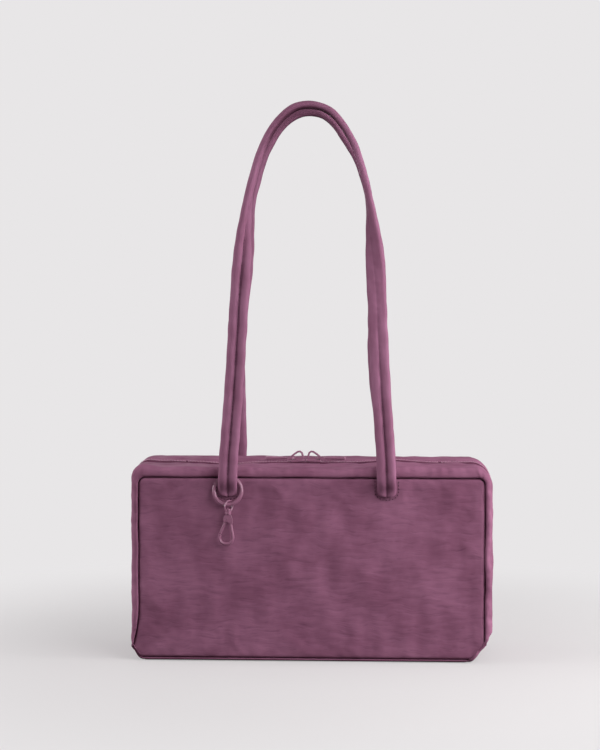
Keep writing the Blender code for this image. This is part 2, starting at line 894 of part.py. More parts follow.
def slider_body(name, side, group, cutters, material):
    """Two plates joined by the diamond, with flanges round the teeth, a ridge and the crown."""
    place = slider_place(side)
    origin = place @ Vector((0, 0, 0))
    half_throat = SLIDER_THROAT / 2
    plate = mirrored_outline(SLIDER_PLATE_SHARES, SLIDER_LENGTH, SLIDER_HALF_WIDTH)
    top = half_throat + SLIDER_PLATE / 2
    body = turned_out(
        extruded(
            name, plate, SLIDER_PLATE, group, place @ Matrix.Translation((0, 0, top)), material, origin=origin
        )
    )
    floor_plate = extruded(
        name + "_lower_plate", plate, SLIDER_PLATE, cutters, place @ Matrix.Translation((0, 0, -top))
    )
    combine(body, turned_out(floor_plate), "UNION")
    diamond = extruded(
        name + "_diamond",
        mirrored_outline(DIAMOND_SHARES, SLIDER_LENGTH, SLIDER_HALF_WIDTH),
        SLIDER_THROAT + SLIDER_PLATE,
        cutters,
        place,
    )
    combine(body, turned_out(diamond), "UNION")
    start, end = (SLIDER_PLATE_SHARES[i][0] * SLIDER_LENGTH for i in (2, 5))
    reach = SLIDER_PLATE_SHARES[5][1] * SLIDER_HALF_WIDTH
    size = (end - start, SLIDER_FLANGE, SLIDER_FLANGE_DEPTH + SLIDER_PLATE / 2)
    for y in (-1, 1):
        for z in (-1, 1):
            inner = half_throat - SLIDER_FLANGE_DEPTH
            at = ((start + end) / 2, y * (reach - SLIDER_FLANGE / 2), z * (inner + size[2] / 2))
            flange = box(f"{name}_flange_{y}_{z}", size, cutters, place @ Matrix.Translation(at))
            combine(body, turned_out(flange), "UNION")
    base = half_throat + SLIDER_PLATE / 2
    ridge = [(x * SLIDER_LENGTH, base + h * (RIDGE_HEIGHT + SLIDER_PLATE / 2)) for x, h in RIDGE_SHARES]
    on_edge = Matrix.Rotation(pi / 2, 4, "X")
    block = extruded(name + "_ridge", ridge, 2 * RIDGE_HALF_WIDTH, cutters, place @ on_edge)
    combine(body, turned_out(block), "UNION")
    crown_points = [
        (x * SLIDER_LENGTH, 0, slider_top() + (CROWN_HEIGHT - CROWN_THICKNESS / 2) * h)
        for x, h in CROWN_SHARES
    ]
    path = np.array([place @ Vector(point) for point in crown_points])
    w, t = CROWN_HALF_WIDTH, CROWN_THICKNESS / 2
    upper = ((w, t / 2), (w / 2, t), (-w / 2, t), (-w, t / 2))
    section = upper + tuple((-y, -z) for y, z in upper)
    crown = loft(name + "_crown", swept_rings(path, (0, 1, 0), section), cutters)
    combine(body, crown, "UNION")
    return body


def pull_pivot(side):
    """The pull's cross bar, under the tail end of the crown."""
    return slider_place(side) @ Vector(
        (PULL_PIVOT_SHARE * SLIDER_LENGTH, 0, slider_top() + PULL_PIVOT_RISE)
    )


def rounded_bar(length, width, corner_radius, start=0, steps=3):
    """A bar outline from a start, along x, with all four corners round."""
    centre = start + length / 2
    return [(x + centre, y) for x, y in plan_loop(length / 2, width / 2, corner_radius, steps)]


def pull_tab(name, side, group, cutters, material):
    """A thick tab with an open eye that goes round the crown."""
    pivot = pull_pivot(side)
    place = Matrix.Translation(pivot) @ Matrix.Diagonal((side, 1, 1, 1))
    bar = PULL_EYE_WALL
    outer = rounded_bar(PULL_EYE_LENGTH + bar, PULL_EYE_WIDTH, PULL_EYE_CORNER, start=-bar / 2)
    hole = rounded_bar(
        PULL_EYE_LENGTH - bar, PULL_EYE_WIDTH - 2 * PULL_EYE_WALL, PULL_EYE_WALL / 4, start=bar / 2, steps=1
    )
    eye = extruded(name, outer, PULL_EYE_THICKNESS, group, place, material, hole=hole, origin=pivot)
    start = PULL_EYE_LENGTH - bar / 2 + GAP / 2
    rings = []
    for along, wide, high in PULL_TAB_SHARES:
        x = start + along * (PULL_LENGTH - bar / 2 - start)
        w, t = wide * PULL_TAB_WIDTH / 2, high * PULL_TAB_THICKNESS / 2
        loop = ((w, t / 2), (w * 2 / 3, t), (-w * 2 / 3, t), (-w, t / 2))
        loop += tuple((-y, -z) for y, z in loop)
        rings.append([place @ Vector((x, y, z)) for y, z in loop])
    tab = loft(name + "_tab", rings, cutters)
    combine(turned_out(eye), tab, "UNION")
    return eye


# The handles
def panel_face():
    return BAG_DEPTH / 2 + GAP


def fold_z():
    """Height of the line where a handle leaves its feet, over the wire of the ring."""
    return BAG_HEIGHT - FOLD_DROP


def foot_bottom():
    return fold_z() - FOOT_LENGTH


def sewn_top():
    """Height up to which a foot is sewn flat. Above it the strap stands off the panel."""
    return foot_bottom() + SEWN_LENGTH


def apex_z(front):
    return fold_z() + HANDLE_RISE - (0 if front else BACK_HANDLE_DROP)


def strap_y(z, apex):
    """How far out the strap's middle stands: off the panel above the sewn part, then leaning in."""
    foot = panel_face() + FOOT_THICKNESS / 2
    stand = foot + HANDLE_STAND_OFF
    top = sewn_top() + HANDLE_STAND_RISE
    share = min(max((z - sewn_top()) / HANDLE_STAND_RISE, 0), 1)
    lean = max(z - top, 0) / (apex - top)
    return foot + HANDLE_STAND_OFF * share**2 * (3 - 2 * share) + (HANDLE_APEX_Y - stand) * lean


def strap_depth(z):
    """The strap fills out from its flat sewn part up to its full thickness."""
    grown = np.clip((z - sewn_top()) / (2 * HANDLE_STAND_RISE), 0, 1)
    return FOOT_THICKNESS + (STRAP_THICKNESS - FOOT_THICKNESS) * grown


def handle_hinge(front):
    """The fold line at the top of the feet, on the strap's outer face."""
    side = -1 if front else 1
    out = strap_y(fold_z(), apex_z(front)) + strap_depth(fold_z()) / 2
    return HANDLE_CENTRE_X, side * out, fold_z()


def handle_stations(front):
    """Places along half a handle, from the sewn part up to the apex: x from the middle, y, z."""
    apex = apex_z(front)
    start = sewn_top()
    outline = [(span * HANDLE_HALF_SPAN, start + rise * (apex - start)) for span, rise in HANDLE_PATH_SHARES]
    path = np.array(outline)
    bend = start + HANDLE_STAND_RISE * np.linspace(0, 1, FOOT_STATIONS)
    heights = [*bend, fold_z() - GAP / 2, fold_z() + GAP / 2]
    low = [(np.interp(z, path[:, 1], path[:, 0]), z) for z in heights]
    high = [tuple(point) for point in path if point[1] > heights[-1]]
    side = -1 if front else 1
    return np.array([(x, side * strap_y(z, apex), z) for x, z in low + high])


def handle_frames(front):
    """A handle from foot to foot: places, the strap's two cross directions and its depth at each."""
    half = handle_stations(front)
    left = half * (-1, 1, 1)
    path = np.vstack([left, half[-2::-1]])
    path[:, 0] += HANDLE_CENTRE_X
    along = directions(path)
    along[0], along[-1] = (0, 0, 1), (0, 0, -1)
    outward = np.array((0, -1 if front else 1, 0))
    face = outward - (along @ outward)[:, None] * along
    face /= np.linalg.norm(face, axis=1, keepdims=True)
    inward = np.cross(along, face)
    middle = np.array((HANDLE_CENTRE_X, 0, fold_z()))
    flip = np.where(np.sum(inward * (middle - path), axis=1) < 0, -1, 1)
    inward *= flip[:, None]
    apex = half[-1, 2]
    rise = (path[:, 2] - sewn_top()) / (apex - sewn_top())
    low, high = STRAP_TWIST_SHARES
    share = np.clip((rise - low) / (high - low), 0, 1)
    turn = (share**2 * (3 - 2 * share))[:, None] * pi / 2
    wide = np.cos(turn) * inward - np.sin(turn) * face
    thick = np.cos(turn) * face + np.sin(turn) * inward
    return path, wide, thick, strap_depth(path[:, 2])


def free_frames(front):
    """The part of a handle above its fold line, which is one body with its filler cords."""
    frames = handle_frames(front)
    free = frames[0][:, 2] > fold_z()
    return [values[free] for values in frames]


def strap_section(half_width, half_depth):
    """Two lobes with a groove between them, as a closed loop."""
    quarter = [(w * half_width, t * half_depth) for w, t in STRAP_SECTION_SHARES]
    upper = quarter + [(-w, t) for w, t in quarter[-2::-1]]
    return np.array(upper + [(-w, -t) for w, t in upper[1:-1]])


def handle_sleeve(name, front, group, cutters, material):
    """The fabric tube of a handle, with a bore through each lobe for its filler cord."""
    path, wide, thick, depth = free_frames(front)
    rings = []
    for at, w, t, d in zip(path, wide, thick, depth):
        section = strap_section(STRAP_WIDTH / 2, d / 2)
        rings.append(at + section[:, :1] * w + section[:, 1:] * t)
    sleeve = loft(name, rings, group, material, origin=handle_hinge(front))
    for lobe in (-1, 1):
        bore = cord_rings(path, wide, thick, lobe, CORD_RADIUS + CORD_CLEARANCE)
        along = directions(path)
        bore[0] -= along[0] * CUT_OVERRUN
        bore[-1] += along[-1] * CUT_OVERRUN
        combine(sleeve, loft(f"{name}_bore_{lobe}", bore, cutters, split=True), "DIFFERENCE")
    return sleeve


def cord_rings(path, wide, thick, lobe, radius):
    """Rings of a cord down the middle of one lobe. The lobe keeps its place across the strap."""
    centre = LOBE_CENTRE_SHARE * STRAP_WIDTH / 2
    section = circle(radius, CORD_SIDES)
    rings = []
    for at, w, t in zip(path, wide, thick):
        rings.append(at + (section[:, :1] + lobe * centre) * w + section[:, 1:] * t)
    return np.array(rings)


def handle_cord(name, front, lobe, group, material):
    path, wide, thick, _ = free_frames(front)
    rings = cord_rings(path, wide, thick, lobe, CORD_RADIUS)
    return loft(name, rings, group, material, handle_hinge(front), split=True)


def handle_foot(name, front, side, group, material):
    """An end of a handle: a round tip sewn flat on the panel, then the bend over the ring's wire."""
    centre = HANDLE_CENTRE_X + side * HANDLE_HALF_SPAN
    out = -1 if front else 1
    rings = []
    for share, wide, deep in FOOT_END_SHARES:
        section = strap_section(wide * STRAP_WIDTH / 2, deep * FOOT_THICKNESS / 2)
        y = panel_face() + FOOT_THICKNESS * deep / 2
        z = foot_bottom() + share * SEWN_LENGTH
        rings.append([(centre + w * side, out * (y + t), z) for w, t in section])
    path, wide, thick, depth = handle_frames(front)
    end = (path[:, 2] < fold_z()) & (side * (path[:, 0] - HANDLE_CENTRE_X) > 0)
    bend = list(zip(path[end], wide[end], thick[end], depth[end]))
    bend = sorted(bend, key=lambda frame: frame[0][2])[1:]
    for at, w, t, d in bend:
        section = strap_section(STRAP_WIDTH / 2, d / 2)
        w = w if w[0] * side > 0 else -w
        rings.append(at + section[:, :1] * w + section[:, 1:] * t)
    return loft(name, rings, group, material)


# The gate ring
def ring_radius():
    return RING_OUTER_RADIUS - RING_WIRE_RADIUS


def ring_matrix():
    """Ring space has x to the right, y up the ring and z out of its front."""
    top_y = -(BAG_DEPTH / 2 + RING_PANEL_CLEARANCE + RING_WIRE_RADIUS)
    tilt = asin(RING_TILT)
    foot_x = HANDLE_CENTRE_X - HANDLE_HALF_SPAN
    centre = Vector((foot_x - RING_ASIDE, top_y - ring_radius() * sin(tilt), fold_z() - RING_DROP))
    return Matrix.Translation(centre) @ Matrix.Rotation(pi / 2 - tilt, 4, "X")


def ring_point(angle, lift=0):
    return ring_matrix() @ Vector((ring_radius() * cos(angle), ring_radius() * sin(angle), lift))


def ring_hang():
    """The line that the ring swings about, a little under its top, where it hangs on the strap."""
    return ring_point(pi / 2) - Vector((0, 0, RING_HANG_DROP))


def ring_arc(start, end):
    count = ceil(abs(end - start) / RING_STEP)
    return [ring_point(start + (end - start) * i / count) for i in range(count + 1)]


def arc_share(length):
    """The angle that a length takes along the ring."""
    return length / ring_radius()


def ring_normal_matrix(angle, lift=0):
    at = ring_point(angle, lift)
    return Matrix.Translation(at) @ ring_matrix().to_3x3().to_4x4()


def gate_cut(name, side, cutters):
    """A block that ends the ring or the gate at a slanted cut, square to the line from the hinge."""
    reach = [cos(RING_GATE_CUT) - cos(RING_GATE_HINGE), sin(RING_GATE_CUT) - sin(RING_GATE_HINGE)]
    slant = Matrix.Rotation(atan2(reach[1], reach[0]) - pi / 2, 4, "Z")
    deep = 2 * RING_CUT_RUN
    size = (2 * deep, deep, 2 * RING_WIRE_RADIUS + CUT_OVERRUN)
    at = ring_normal_matrix(RING_GATE_CUT) @ slant
    return box(name, size, cutters, at @ Matrix.Translation((0, side * (deep - GAP) / 2, 0)))


def key_ring(group, cutters, material):
    """The open ring, its gate between two lugs, and the pin through them."""
    lug_depth = RING_WIRE_RADIUS - GATE_TONGUE_HALF - GAP
    reach = arc_share(GATE_LUG_RADIUS)
    start = RING_GATE_CUT - arc_share(RING_CUT_RUN) - 2 * pi
    end = RING_GATE_HINGE - reach - arc_share(GAP)
    hang = ring_hang()
    ring = wire("ring_body", ring_arc(start, end), RING_WIRE_RADIUS, group, material, hang)
    lug_middle = GATE_TONGUE_HALF + GAP + lug_depth / 2
    bridge = 2 * reach * ring_radius()
    for face in (-1, 1):
        at = ring_normal_matrix(RING_GATE_HINGE, face * lug_middle)
        lug = cylinder(f"ring_lug_{face}", GATE_LUG_RADIUS, lug_depth, cutters, at, sides=12)
        combine(ring, lug, "UNION")
        back = ring_normal_matrix(RING_GATE_HINGE - reach, face * lug_middle)
        turn = Matrix.Rotation(RING_GATE_HINGE - reach, 4, "Z")
        size = (RING_CHEEK_WIDTH, bridge, lug_depth)
        combine(ring, box(f"ring_cheek_{face}", size, cutters, back @ turn), "UNION")
    hole = cylinder(
        "ring_pin_hole",
        RING_PIN_RADIUS + PIN_CLEARANCE,
        2 * RING_WIRE_RADIUS + CUT_OVERRUN,
        cutters,
        ring_normal_matrix(RING_GATE_HINGE),
        sides=12,
    )
    combine(ring, hole, "DIFFERENCE")
    combine(ring, gate_cut("ring_end_cut", -1, cutters), "DIFFERENCE")
    hinge = ring_point(RING_GATE_HINGE)
    gate_start = RING_GATE_HINGE + reach + arc_share(GAP)
    gate_end = RING_GATE_CUT + arc_share(RING_CUT_RUN)
    gate = wire("ring_gate", ring_arc(gate_start, gate_end), GATE_WIRE_RADIUS, group, material, hinge)
    tongue_radius = GATE_LUG_RADIUS - GAP
    tongue = cylinder(
        "ring_gate_tongue",
        tongue_radius,
        2 * GATE_TONGUE_HALF,
        cutters,
        ring_normal_matrix(RING_GATE_HINGE),
        sides=12,
    )
    combine(gate, tongue, "UNION")
    turn = Matrix.Rotation(RING_GATE_HINGE + reach, 4, "Z")
    size = (GATE_LINK_WIDTH, bridge, 2 * GATE_TONGUE_HALF)
    link = box("ring_gate_link", size, cutters, ring_normal_matrix(RING_GATE_HINGE + reach) @ turn)
    combine(gate, link, "UNION")
    combine(gate, hole, "DIFFERENCE")
    combine(gate, gate_cut("gate_end_cut", 1, cutters), "DIFFERENCE")
    pin_length = 2 * RING_WIRE_RADIUS
    pin = cylinder(
        "ring_gate_rivet",
        RING_PIN_RADIUS,
        pin_length,
        group,
        ring_normal_matrix(RING_GATE_HINGE),
        material,
        hang,
        sides=12,
    )
    return ring, gate, pin


# The swivel snap hook
def eye_centre():
    """The eye hangs on the ring's wire near its bottom, with a gap over the wire."""
    drop = ring_radius() - RING_WIRE_RADIUS - EYE_OVER_WIRE + EYE_INNER_RADIUS
    angle = -pi / 2 + EYE_REST_ANGLE
    return ring_matrix() @ Vector((drop * cos(angle), drop * sin(angle), 0))


def clasp_matrix():
    """Clasp space has x to the right, y back and z up, with its origin in the eye."""
    return Matrix.Translation(eye_centre()) @ Matrix.Rotation(CLASP_TILT, 4, "Y")


def upright(middle_down):
    """Places a turned piece on the swivel's axis."""
    return clasp_matrix() @ Matrix.Translation((0, 0, -middle_down))


def facing():
    """Places a flat outline, given as x and height, in the hook's own plane."""
    return clasp_matrix() @ Matrix.Rotation(pi / 2, 4, "X")


def swivel_eye(group, cutters, material):
    ring_middle = EYE_INNER_RADIUS + EYE_WIRE_RADIUS
    turn = Matrix.Rotation(EYE_TURN, 4, "Z")
    loop = []
    for i in range(EYE_FACETS):
        angle = 2 * pi * i / EYE_FACETS
        centre = clasp_matrix() @ turn @ Vector((ring_middle * cos(angle), 0, ring_middle * sin(angle)))
        out = (clasp_matrix() @ turn).to_3x3() @ Vector((cos(angle), 0, sin(angle)))
        side = (clasp_matrix() @ turn).to_3x3() @ Vector((0, 1, 0))
        loop.append([centre + out * a + side * b for a, b in circle(EYE_WIRE_RADIUS, EYE_SIDES)])
    rings = np.array(loop + loop[:1])
    closed = np.concatenate([rings, rings[:, :1]], axis=1)
    bm = mapped_grid(closed)
    bmesh.ops.remove_doubles(bm, verts=bm.verts, dist=WELD)
    bmesh.ops.recalc_face_normals(bm, faces=bm.faces)
    eye = add_object("clasp_eye", mesh_from(bm, "clasp_eye"), group, material, eye_centre())
    smooth(eye)
    depth = BOSS_BOTTOM - BOSS_TOP
    boss = cylinder("eye_boss", BOSS_RADIUS, depth, cutters, upright((BOSS_TOP + BOSS_BOTTOM) / 2))
    combine(eye, boss, "UNION")
    bore = cylinder(
        "eye_bore", RIVET_BORE_RADIUS, depth + CUT_OVERRUN, cutters, upright((BOSS_TOP + BOSS_BOTTOM) / 2)
    )
    combine(eye, bore, "DIFFERENCE")
    return eye


def swivel_rivet(group, material):
    """A turned rivet: a domed head inside the eye and a shank down into the hook's head."""
    under = -(BOSS_TOP - GAP)
    foot = -(HOOK_TOP + RIVET_RADIUS)
    profile = [(0, under + RIVET_HEAD_HEIGHT)]
    for share in (0.45, 0.8):
        profile.append((RIVET_HEAD_RADIUS * share, under + RIVET_HEAD_HEIGHT * sqrt(1 - share**2)))
    profile += [(RIVET_HEAD_RADIUS, under), (RIVET_RADIUS, under), (RIVET_RADIUS, foot), (0, foot)]
    bm = bmesh.new()
    chain = [bm.verts.new((r, 0, z)) for r, z in profile]
    for a, b in zip(chain, chain[1:]):
        bm.edges.new((a, b))
    mesh = mesh_from(bm, "swivel_rivet")
    thing = add_object("swivel_rivet", mesh, group, material)
    thing.matrix_world = clasp_matrix()
    turn = thing.modifiers.new("turned", "SCREW")
    turn.steps = turn.render_steps = 14
    turn.use_merge_vertices = True
    turn.merge_threshold = WELD
    smooth(thing)
    return thing


def hook_space(shares):
    """Points of the hook as shares of its half width and its height, in x and height."""
    height = HOOK_BOTTOM - HOOK_TOP
    return [(x * HOOK_HALF_WIDTH, -HOOK_TOP - down * height) for x, down in shares]


def snap_hook(group, cutters, material):
    """The head is a fork round the gate; the bar is one round wire curled to its nose."""
    origin = eye_centre()
    head = extruded(
        "clasp_hook", hook_space(HOOK_HEAD_SHARES), HOOK_THICKNESS, group, facing(), material, origin=origin
    )
    points = [facing() @ Vector((x, y, 0)) for x, y in hook_space(HOOK_BAR_SHARES)]
    bar = wire("hook_bar", smooth_path(points, 2), HOOK_BAR_RADIUS, cutters)
    combine(head, bar, "UNION")
    slot = extruded("hook_slot", hook_space(HOOK_FORK_SHARES), HOOK_FORK_SLOT, cutters, facing())
    combine(head, slot, "DIFFERENCE")
    socket_depth = RIVET_RADIUS + GAP
    socket = cylinder(
        "rivet_socket",
        RIVET_RADIUS + PIN_CLEARANCE,
        2 * socket_depth,
        cutters,
        upright(HOOK_TOP),
    )
    combine(head, socket, "DIFFERENCE")
    hole = cylinder(
        "gate_rivet_hole",
        GATE_RIVET_RADIUS + PIN_CLEARANCE,
        HOOK_THICKNESS + CUT_OVERRUN,
        cutters,
        gate_rivet_matrix(),
        sides=12,
    )
    combine(head, hole, "DIFFERENCE")
    return head, hole


def gate_rivet_matrix():
    (x, y), = hook_space([GATE_RIVET_SHARES])
    return facing() @ Matrix.Translation((x, y, 0))


def clasp_gate(hole, group, cutters, material):
    """A flat tongue in the fork, and a bar as stout as the hook's down to its nose."""
    half = GATE_WIDTH / 2
    loop = [(half * cos(a), half * sin(a)) for a in np.linspace(0, pi, 7)]
    loop += [(-half, -GATE_BAR_START - GATE_BAR_RADIUS), (half, -GATE_BAR_START - GATE_BAR_RADIUS)]
    at = gate_rivet_matrix()
    place = at @ Matrix.Rotation(-GATE_LEAN, 4, "Z")
    gate = extruded(
        "clasp_gate", loop, GATE_PLATE, group, place, material, origin=at.translation
    )
    points = [place @ Vector((0, -down, 0)) for down in (GATE_BAR_START, GATE_LENGTH)]
    bar = wire("gate_bar", np.array(points), GATE_BAR_RADIUS, cutters)
    combine(gate, bar, "UNION")
    combine(gate, hole, "DIFFERENCE")
    return gate


def gate_rivet(group, material):
    thing = cylinder(
        "gate_rivet",
        GATE_RIVET_RADIUS,
        HOOK_THICKNESS,
        group,
        gate_rivet_matrix(),
        material,
        eye_centre(),
        sides=12,
    )
    return thing


def gate_spring(group, material):
    """A thin leaf in the fork's slot, which presses the gate outward."""
    at = gate_rivet_matrix()
    lean = Matrix.Rotation(-GATE_LEAN, 4, "Z")
    x = GATE_WIDTH / 2 + GAP + SPRING_THICKNESS / 2
    place = at @ lean @ Matrix.Translation((x, -SPRING_LENGTH / 2 - GATE_RIVET_RADIUS, 0))
    size = (SPRING_THICKNESS, SPRING_LENGTH, SPRING_WIDTH)
    return box("gate_spring", size, group, place, material, eye_centre())


def build():
    clear_scene()
    bag = new_collection("zip_top_shoulder_bag")
    cutters = new_collection("cutters")
    fabric = new_material("crinkled_nylon", FABRIC_COLOUR, 0.55)
    inside = new_material("lining_taffeta", LINING_COLOUR, 0.6)
    foam = new_material("foam_sheet", FOAM_COLOUR, 0.9)
    board = new_material("fibre_board", BOARD_COLOUR, 0.8)
    cotton = new_material("cotton_cord", CORD_COLOUR, 0.9)
    teeth = new_material("moulded_zip", TEETH_COLOUR, 0.4)
    paint = new_material("painted_zinc", PAINT_COLOUR, 0.35, 0.3)

    for face, front in (("front", True), ("back", False)):
        fabric_panel(f"{face}_panel", front, bag, fabric)
        foam_sheet(f"{face}_foam", front, bag, foam)
        zip_gusset(f"zip_gusset_{face}", front, bag, fabric)
        mouth_flap(f"mouth_flap_{face}", front, bag, fabric)
        zip_chain(f"zip_chain_{face}", front, bag, cutters, teeth)
        handle_sleeve(f"{face}_handle_sleeve", front, bag, cutters, fabric)
        for side, lobe in (("left", -1), ("right", 1)):
            handle_foot(f"handle_foot_{face}_{side}", front, lobe, bag, fabric)
            handle_cord(f"{face}_handle_cord_{side}", front, lobe, bag, cotton)
    side_bottom_gusset(bag, fabric)
    lining_tub(bag, inside)
    base_board(bag, board)
    for side, sign in (("left", -1), ("right", 1)):
        zip_end(f"zip_end_{side}", sign, bag, teeth)
        slider_body(f"{side}_slider_body", sign, bag, cutters, paint)
        pull_tab(f"{side}_pull", sign, bag, cutters, paint)
    key_ring(bag, cutters, paint)
    swivel_eye(bag, cutters, paint)
    swivel_rivet(bag, paint)
    _, hole = snap_hook(bag, cutters, paint)
    clasp_gate(hole, bag, cutters, paint)
    gate_rivet(bag, paint)
    gate_spring(bag, paint)


build()
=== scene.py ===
from math import pi, radians

import bmesh
import bpy
import numpy as np
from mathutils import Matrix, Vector


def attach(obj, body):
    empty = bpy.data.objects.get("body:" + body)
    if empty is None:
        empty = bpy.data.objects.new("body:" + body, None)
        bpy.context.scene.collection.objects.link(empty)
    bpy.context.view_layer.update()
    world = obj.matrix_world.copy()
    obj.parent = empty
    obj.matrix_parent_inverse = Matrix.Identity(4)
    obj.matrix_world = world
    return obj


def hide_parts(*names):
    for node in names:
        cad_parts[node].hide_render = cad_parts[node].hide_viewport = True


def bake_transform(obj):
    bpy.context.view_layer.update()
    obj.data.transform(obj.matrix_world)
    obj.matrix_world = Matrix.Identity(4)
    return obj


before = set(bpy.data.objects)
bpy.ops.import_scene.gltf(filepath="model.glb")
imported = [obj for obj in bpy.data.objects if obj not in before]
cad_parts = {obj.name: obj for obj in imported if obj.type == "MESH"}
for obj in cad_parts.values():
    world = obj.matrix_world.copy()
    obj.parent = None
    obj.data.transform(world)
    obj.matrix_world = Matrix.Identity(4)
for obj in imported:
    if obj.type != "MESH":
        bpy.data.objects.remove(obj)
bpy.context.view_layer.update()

# All sizes are in metres. The drawn cloth stands a little proud of the CAD solids.
# The body: outer sizes, radii of the corners, and how far in the panels' seams lie
WIDTH, DEPTH, HEIGHT, CROWN = 0.3062, 0.090, 0.1672, 0.0010
LEFT_RADIUS, RIGHT_RADIUS, SEAM_RADIUS, BASE_RADIUS = 0.0118, 0.0190, 0.006, 0.003
SEAM_SIDE, SEAM_TOP, SEAM_BOTTOM = 0.0073, 0.0118, 0.0025
# The bottom corners: how far each is drawn in, and up to which height
LEFT_CUT, LEFT_CUT_TOP, RIGHT_CUT, RIGHT_CUT_TOP = 0.0088, 0.0150, 0.0178, 0.0265
# The faces, the flaps' hinges, the end of the zip, half the mouth and half the zip's slot
FACE = DEPTH / 2
HINGE_Y, HINGE_Z = FACE - 0.008, 0.1648
SPLIT_Z, MOUTH, SLOT = 0.125, 0.104, 0.0048
# Thickness of cloth and foam, and the gap between layers
FABRIC, FOAM, GAP = 0.0012, 0.003, 0.0003
# The two faces, with the sign of their y
FACES = (("front", -1), ("back", 1))

# The zip: the moving chain's height, end and pitch, its teeth, and the edges of its tapes
CHAIN_Z, CHAIN_END, PITCH = 0.16418, 0.1106, 0.0028
TOOTH_DEPTH, TOOTH_HALF_WIDTH, CORD_EDGE, TAPE_EDGE = 0.0024, 0.00068, 0.0022, 0.012

# The handles: place and reach, the sewn feet, the stand-off above them, strap and ring
HANDLE_X, HALF_SPAN, APEX_Z, BACK_DROP, APEX_Y = -0.003, 0.0665, 0.4688, 0.004, 0.013
FOOT_BOTTOM, SEWN_TOP, FOLD_Z = 0.139, 0.147, 0.1585
STAND_OFF, STAND_RISE = 0.0056, 0.008
STRAP_WIDTH, STRAP_DEPTH, FOOT_DEPTH = 0.016, 0.0063, 0.0045
RING_X = -0.0697
# Their route from foot to apex, as shares of the half span and of the rise
ROUTE_SHARES = (
    (1, 0), (0.987, 0.08), (0.937, 0.228), (0.9, 0.36), (0.869, 0.49), (0.823, 0.642),
    (0.771, 0.747), (0.703, 0.814), (0.575, 0.895), (0.394, 0.957), (0.205, 0.991), (0, 1),
)


# Meshes from grids of points
def patch(points, uv=None, wrap=False, flip=False, dark=0, finish=0):
    """One or more grids of points as quads. Each quad joins four neighbours, and wrap joins the
    last column to the first. uv has one more column then."""
    points = np.asarray(points, float)
    rows, columns = points.shape[-3:-1]
    grids = points.reshape(-1, rows, columns, 3)
    index = np.arange(len(grids) * rows * columns).reshape(grids.shape[:3])
    if wrap:
        index = np.concatenate([index, index[:, :, :1]], axis=2)
    if uv is None:
        uv = np.zeros(index.shape[1:] + (2,))
    uv = np.broadcast_to(uv, index.shape + (2,))

    def corners(values):
        around = [values[:, :-1, :-1], values[:, 1:, :-1], values[:, 1:, 1:], values[:, :-1, 1:]]
        return np.stack(around[::-1] if flip else around, axis=3)

    return {
        "points": grids.reshape(-1, 3),
        "quads": corners(index).reshape(-1, 4),
        "uv": corners(uv).reshape(-1, 2),
        "dark": np.broadcast_to(dark, grids.shape[:3]).ravel(),
        "finish": finish,
    }


def piece(name, patches, materials, body=None, replaced=(), weld=0.0, wall=0.0):
    """One object from patches, its UV map in metres, and its dark attribute of painted shade."""
    first = np.cumsum([0] + [len(part["points"]) for part in patches[:-1]])
    points = np.concatenate([part["points"] for part in patches])
    quads = np.concatenate([part["quads"] + start for part, start in zip(patches, first)])
    mesh = bpy.data.meshes.new(name)
    mesh.from_pydata(points.tolist(), [], quads.tolist())
    around = np.concatenate([part["uv"] for part in patches])
    mesh.uv_layers.new(name="cloth").data.foreach_set("uv", around.astype(np.float32).ravel())
    dark = np.concatenate([part["dark"] for part in patches])
    mesh.attributes.new("dark", "FLOAT", "POINT").data.foreach_set("value", dark.astype(np.float32))
    finishes = np.concatenate([np.full(len(part["quads"]), part["finish"]) for part in patches])
    mesh.polygons.foreach_set("material_index", finishes.astype(np.int32))
    mesh.shade_smooth()
    for material in materials:
        mesh.materials.append(material)
    bm = bmesh.new()
    bm.from_mesh(mesh)
    if weld:
        bmesh.ops.remove_doubles(bm, verts=bm.verts, dist=weld)
    for edge in bm.edges:
        edge.smooth = not edge.is_boundary
    bm.to_mesh(mesh)
    bm.free()
    made = bpy.data.objects.new(name, mesh)
    bpy.context.scene.collection.objects.link(made)
    if wall:
        thick = made.modifiers.new("wall", "SOLIDIFY")
        thick.thickness = wall
        thick.offset = -1
    if body:
        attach(made, body)
    if replaced:
        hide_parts(*replaced)
    return made


def waves(a, b, seed, lengths_a, lengths_b, count=7):
    """A soft random surface of about -1 to 1: a sum of sines of a and b, whose lengths and
    phases are drawn between the given lengths."""
    rng = np.random.default_rng(seed)
    total = 0
    for _ in range(count):
        slope_a = rng.choice((-1, 1)) / rng.uniform(*lengths_a)
        slope_b = 1 / rng.uniform(*lengths_b)
        total = total + np.sin(2 * pi * (a * slope_a + b * slope_b + rng.uniform()))
    return total / count**0.5


def ramp(value, span):
    """Rises evenly from 0 to 1 while value goes from 0 to span."""
    return np.clip(value / span, 0, 1)


def step_up(value):
    """Rises smoothly from 0 to 1 while value does."""
    value = np.clip(value, 0, 1)
    return value * value * (3 - 2 * value)


def hump(x, middle, reach):
    """A bell curve of x round its middle."""
    return np.exp(-(((x - middle) / reach) ** 2))


def rim_of(shape):
    """True along the four edges of a grid."""
    rim = np.zeros(shape, bool)
    rim[[0, -1]] = True
    rim[:, [0, -1]] = True
    return rim


def lift(points, height, wrap=False):
    """Moves each point of a grid by a height along its normal, which is the cross product of the
    step to the next column and the step to the next row."""
    down = np.gradient(points, axis=0)
    if wrap:
        across = np.roll(points, -1, axis=1) - np.roll(points, 1, axis=1)
    else:
        across = np.gradient(points, axis=1)
    normal = np.cross(across, down)
    normal /= np.linalg.norm(normal, axis=2, keepdims=True) + 1e-12
    return points + normal * np.asarray(height)[..., None]


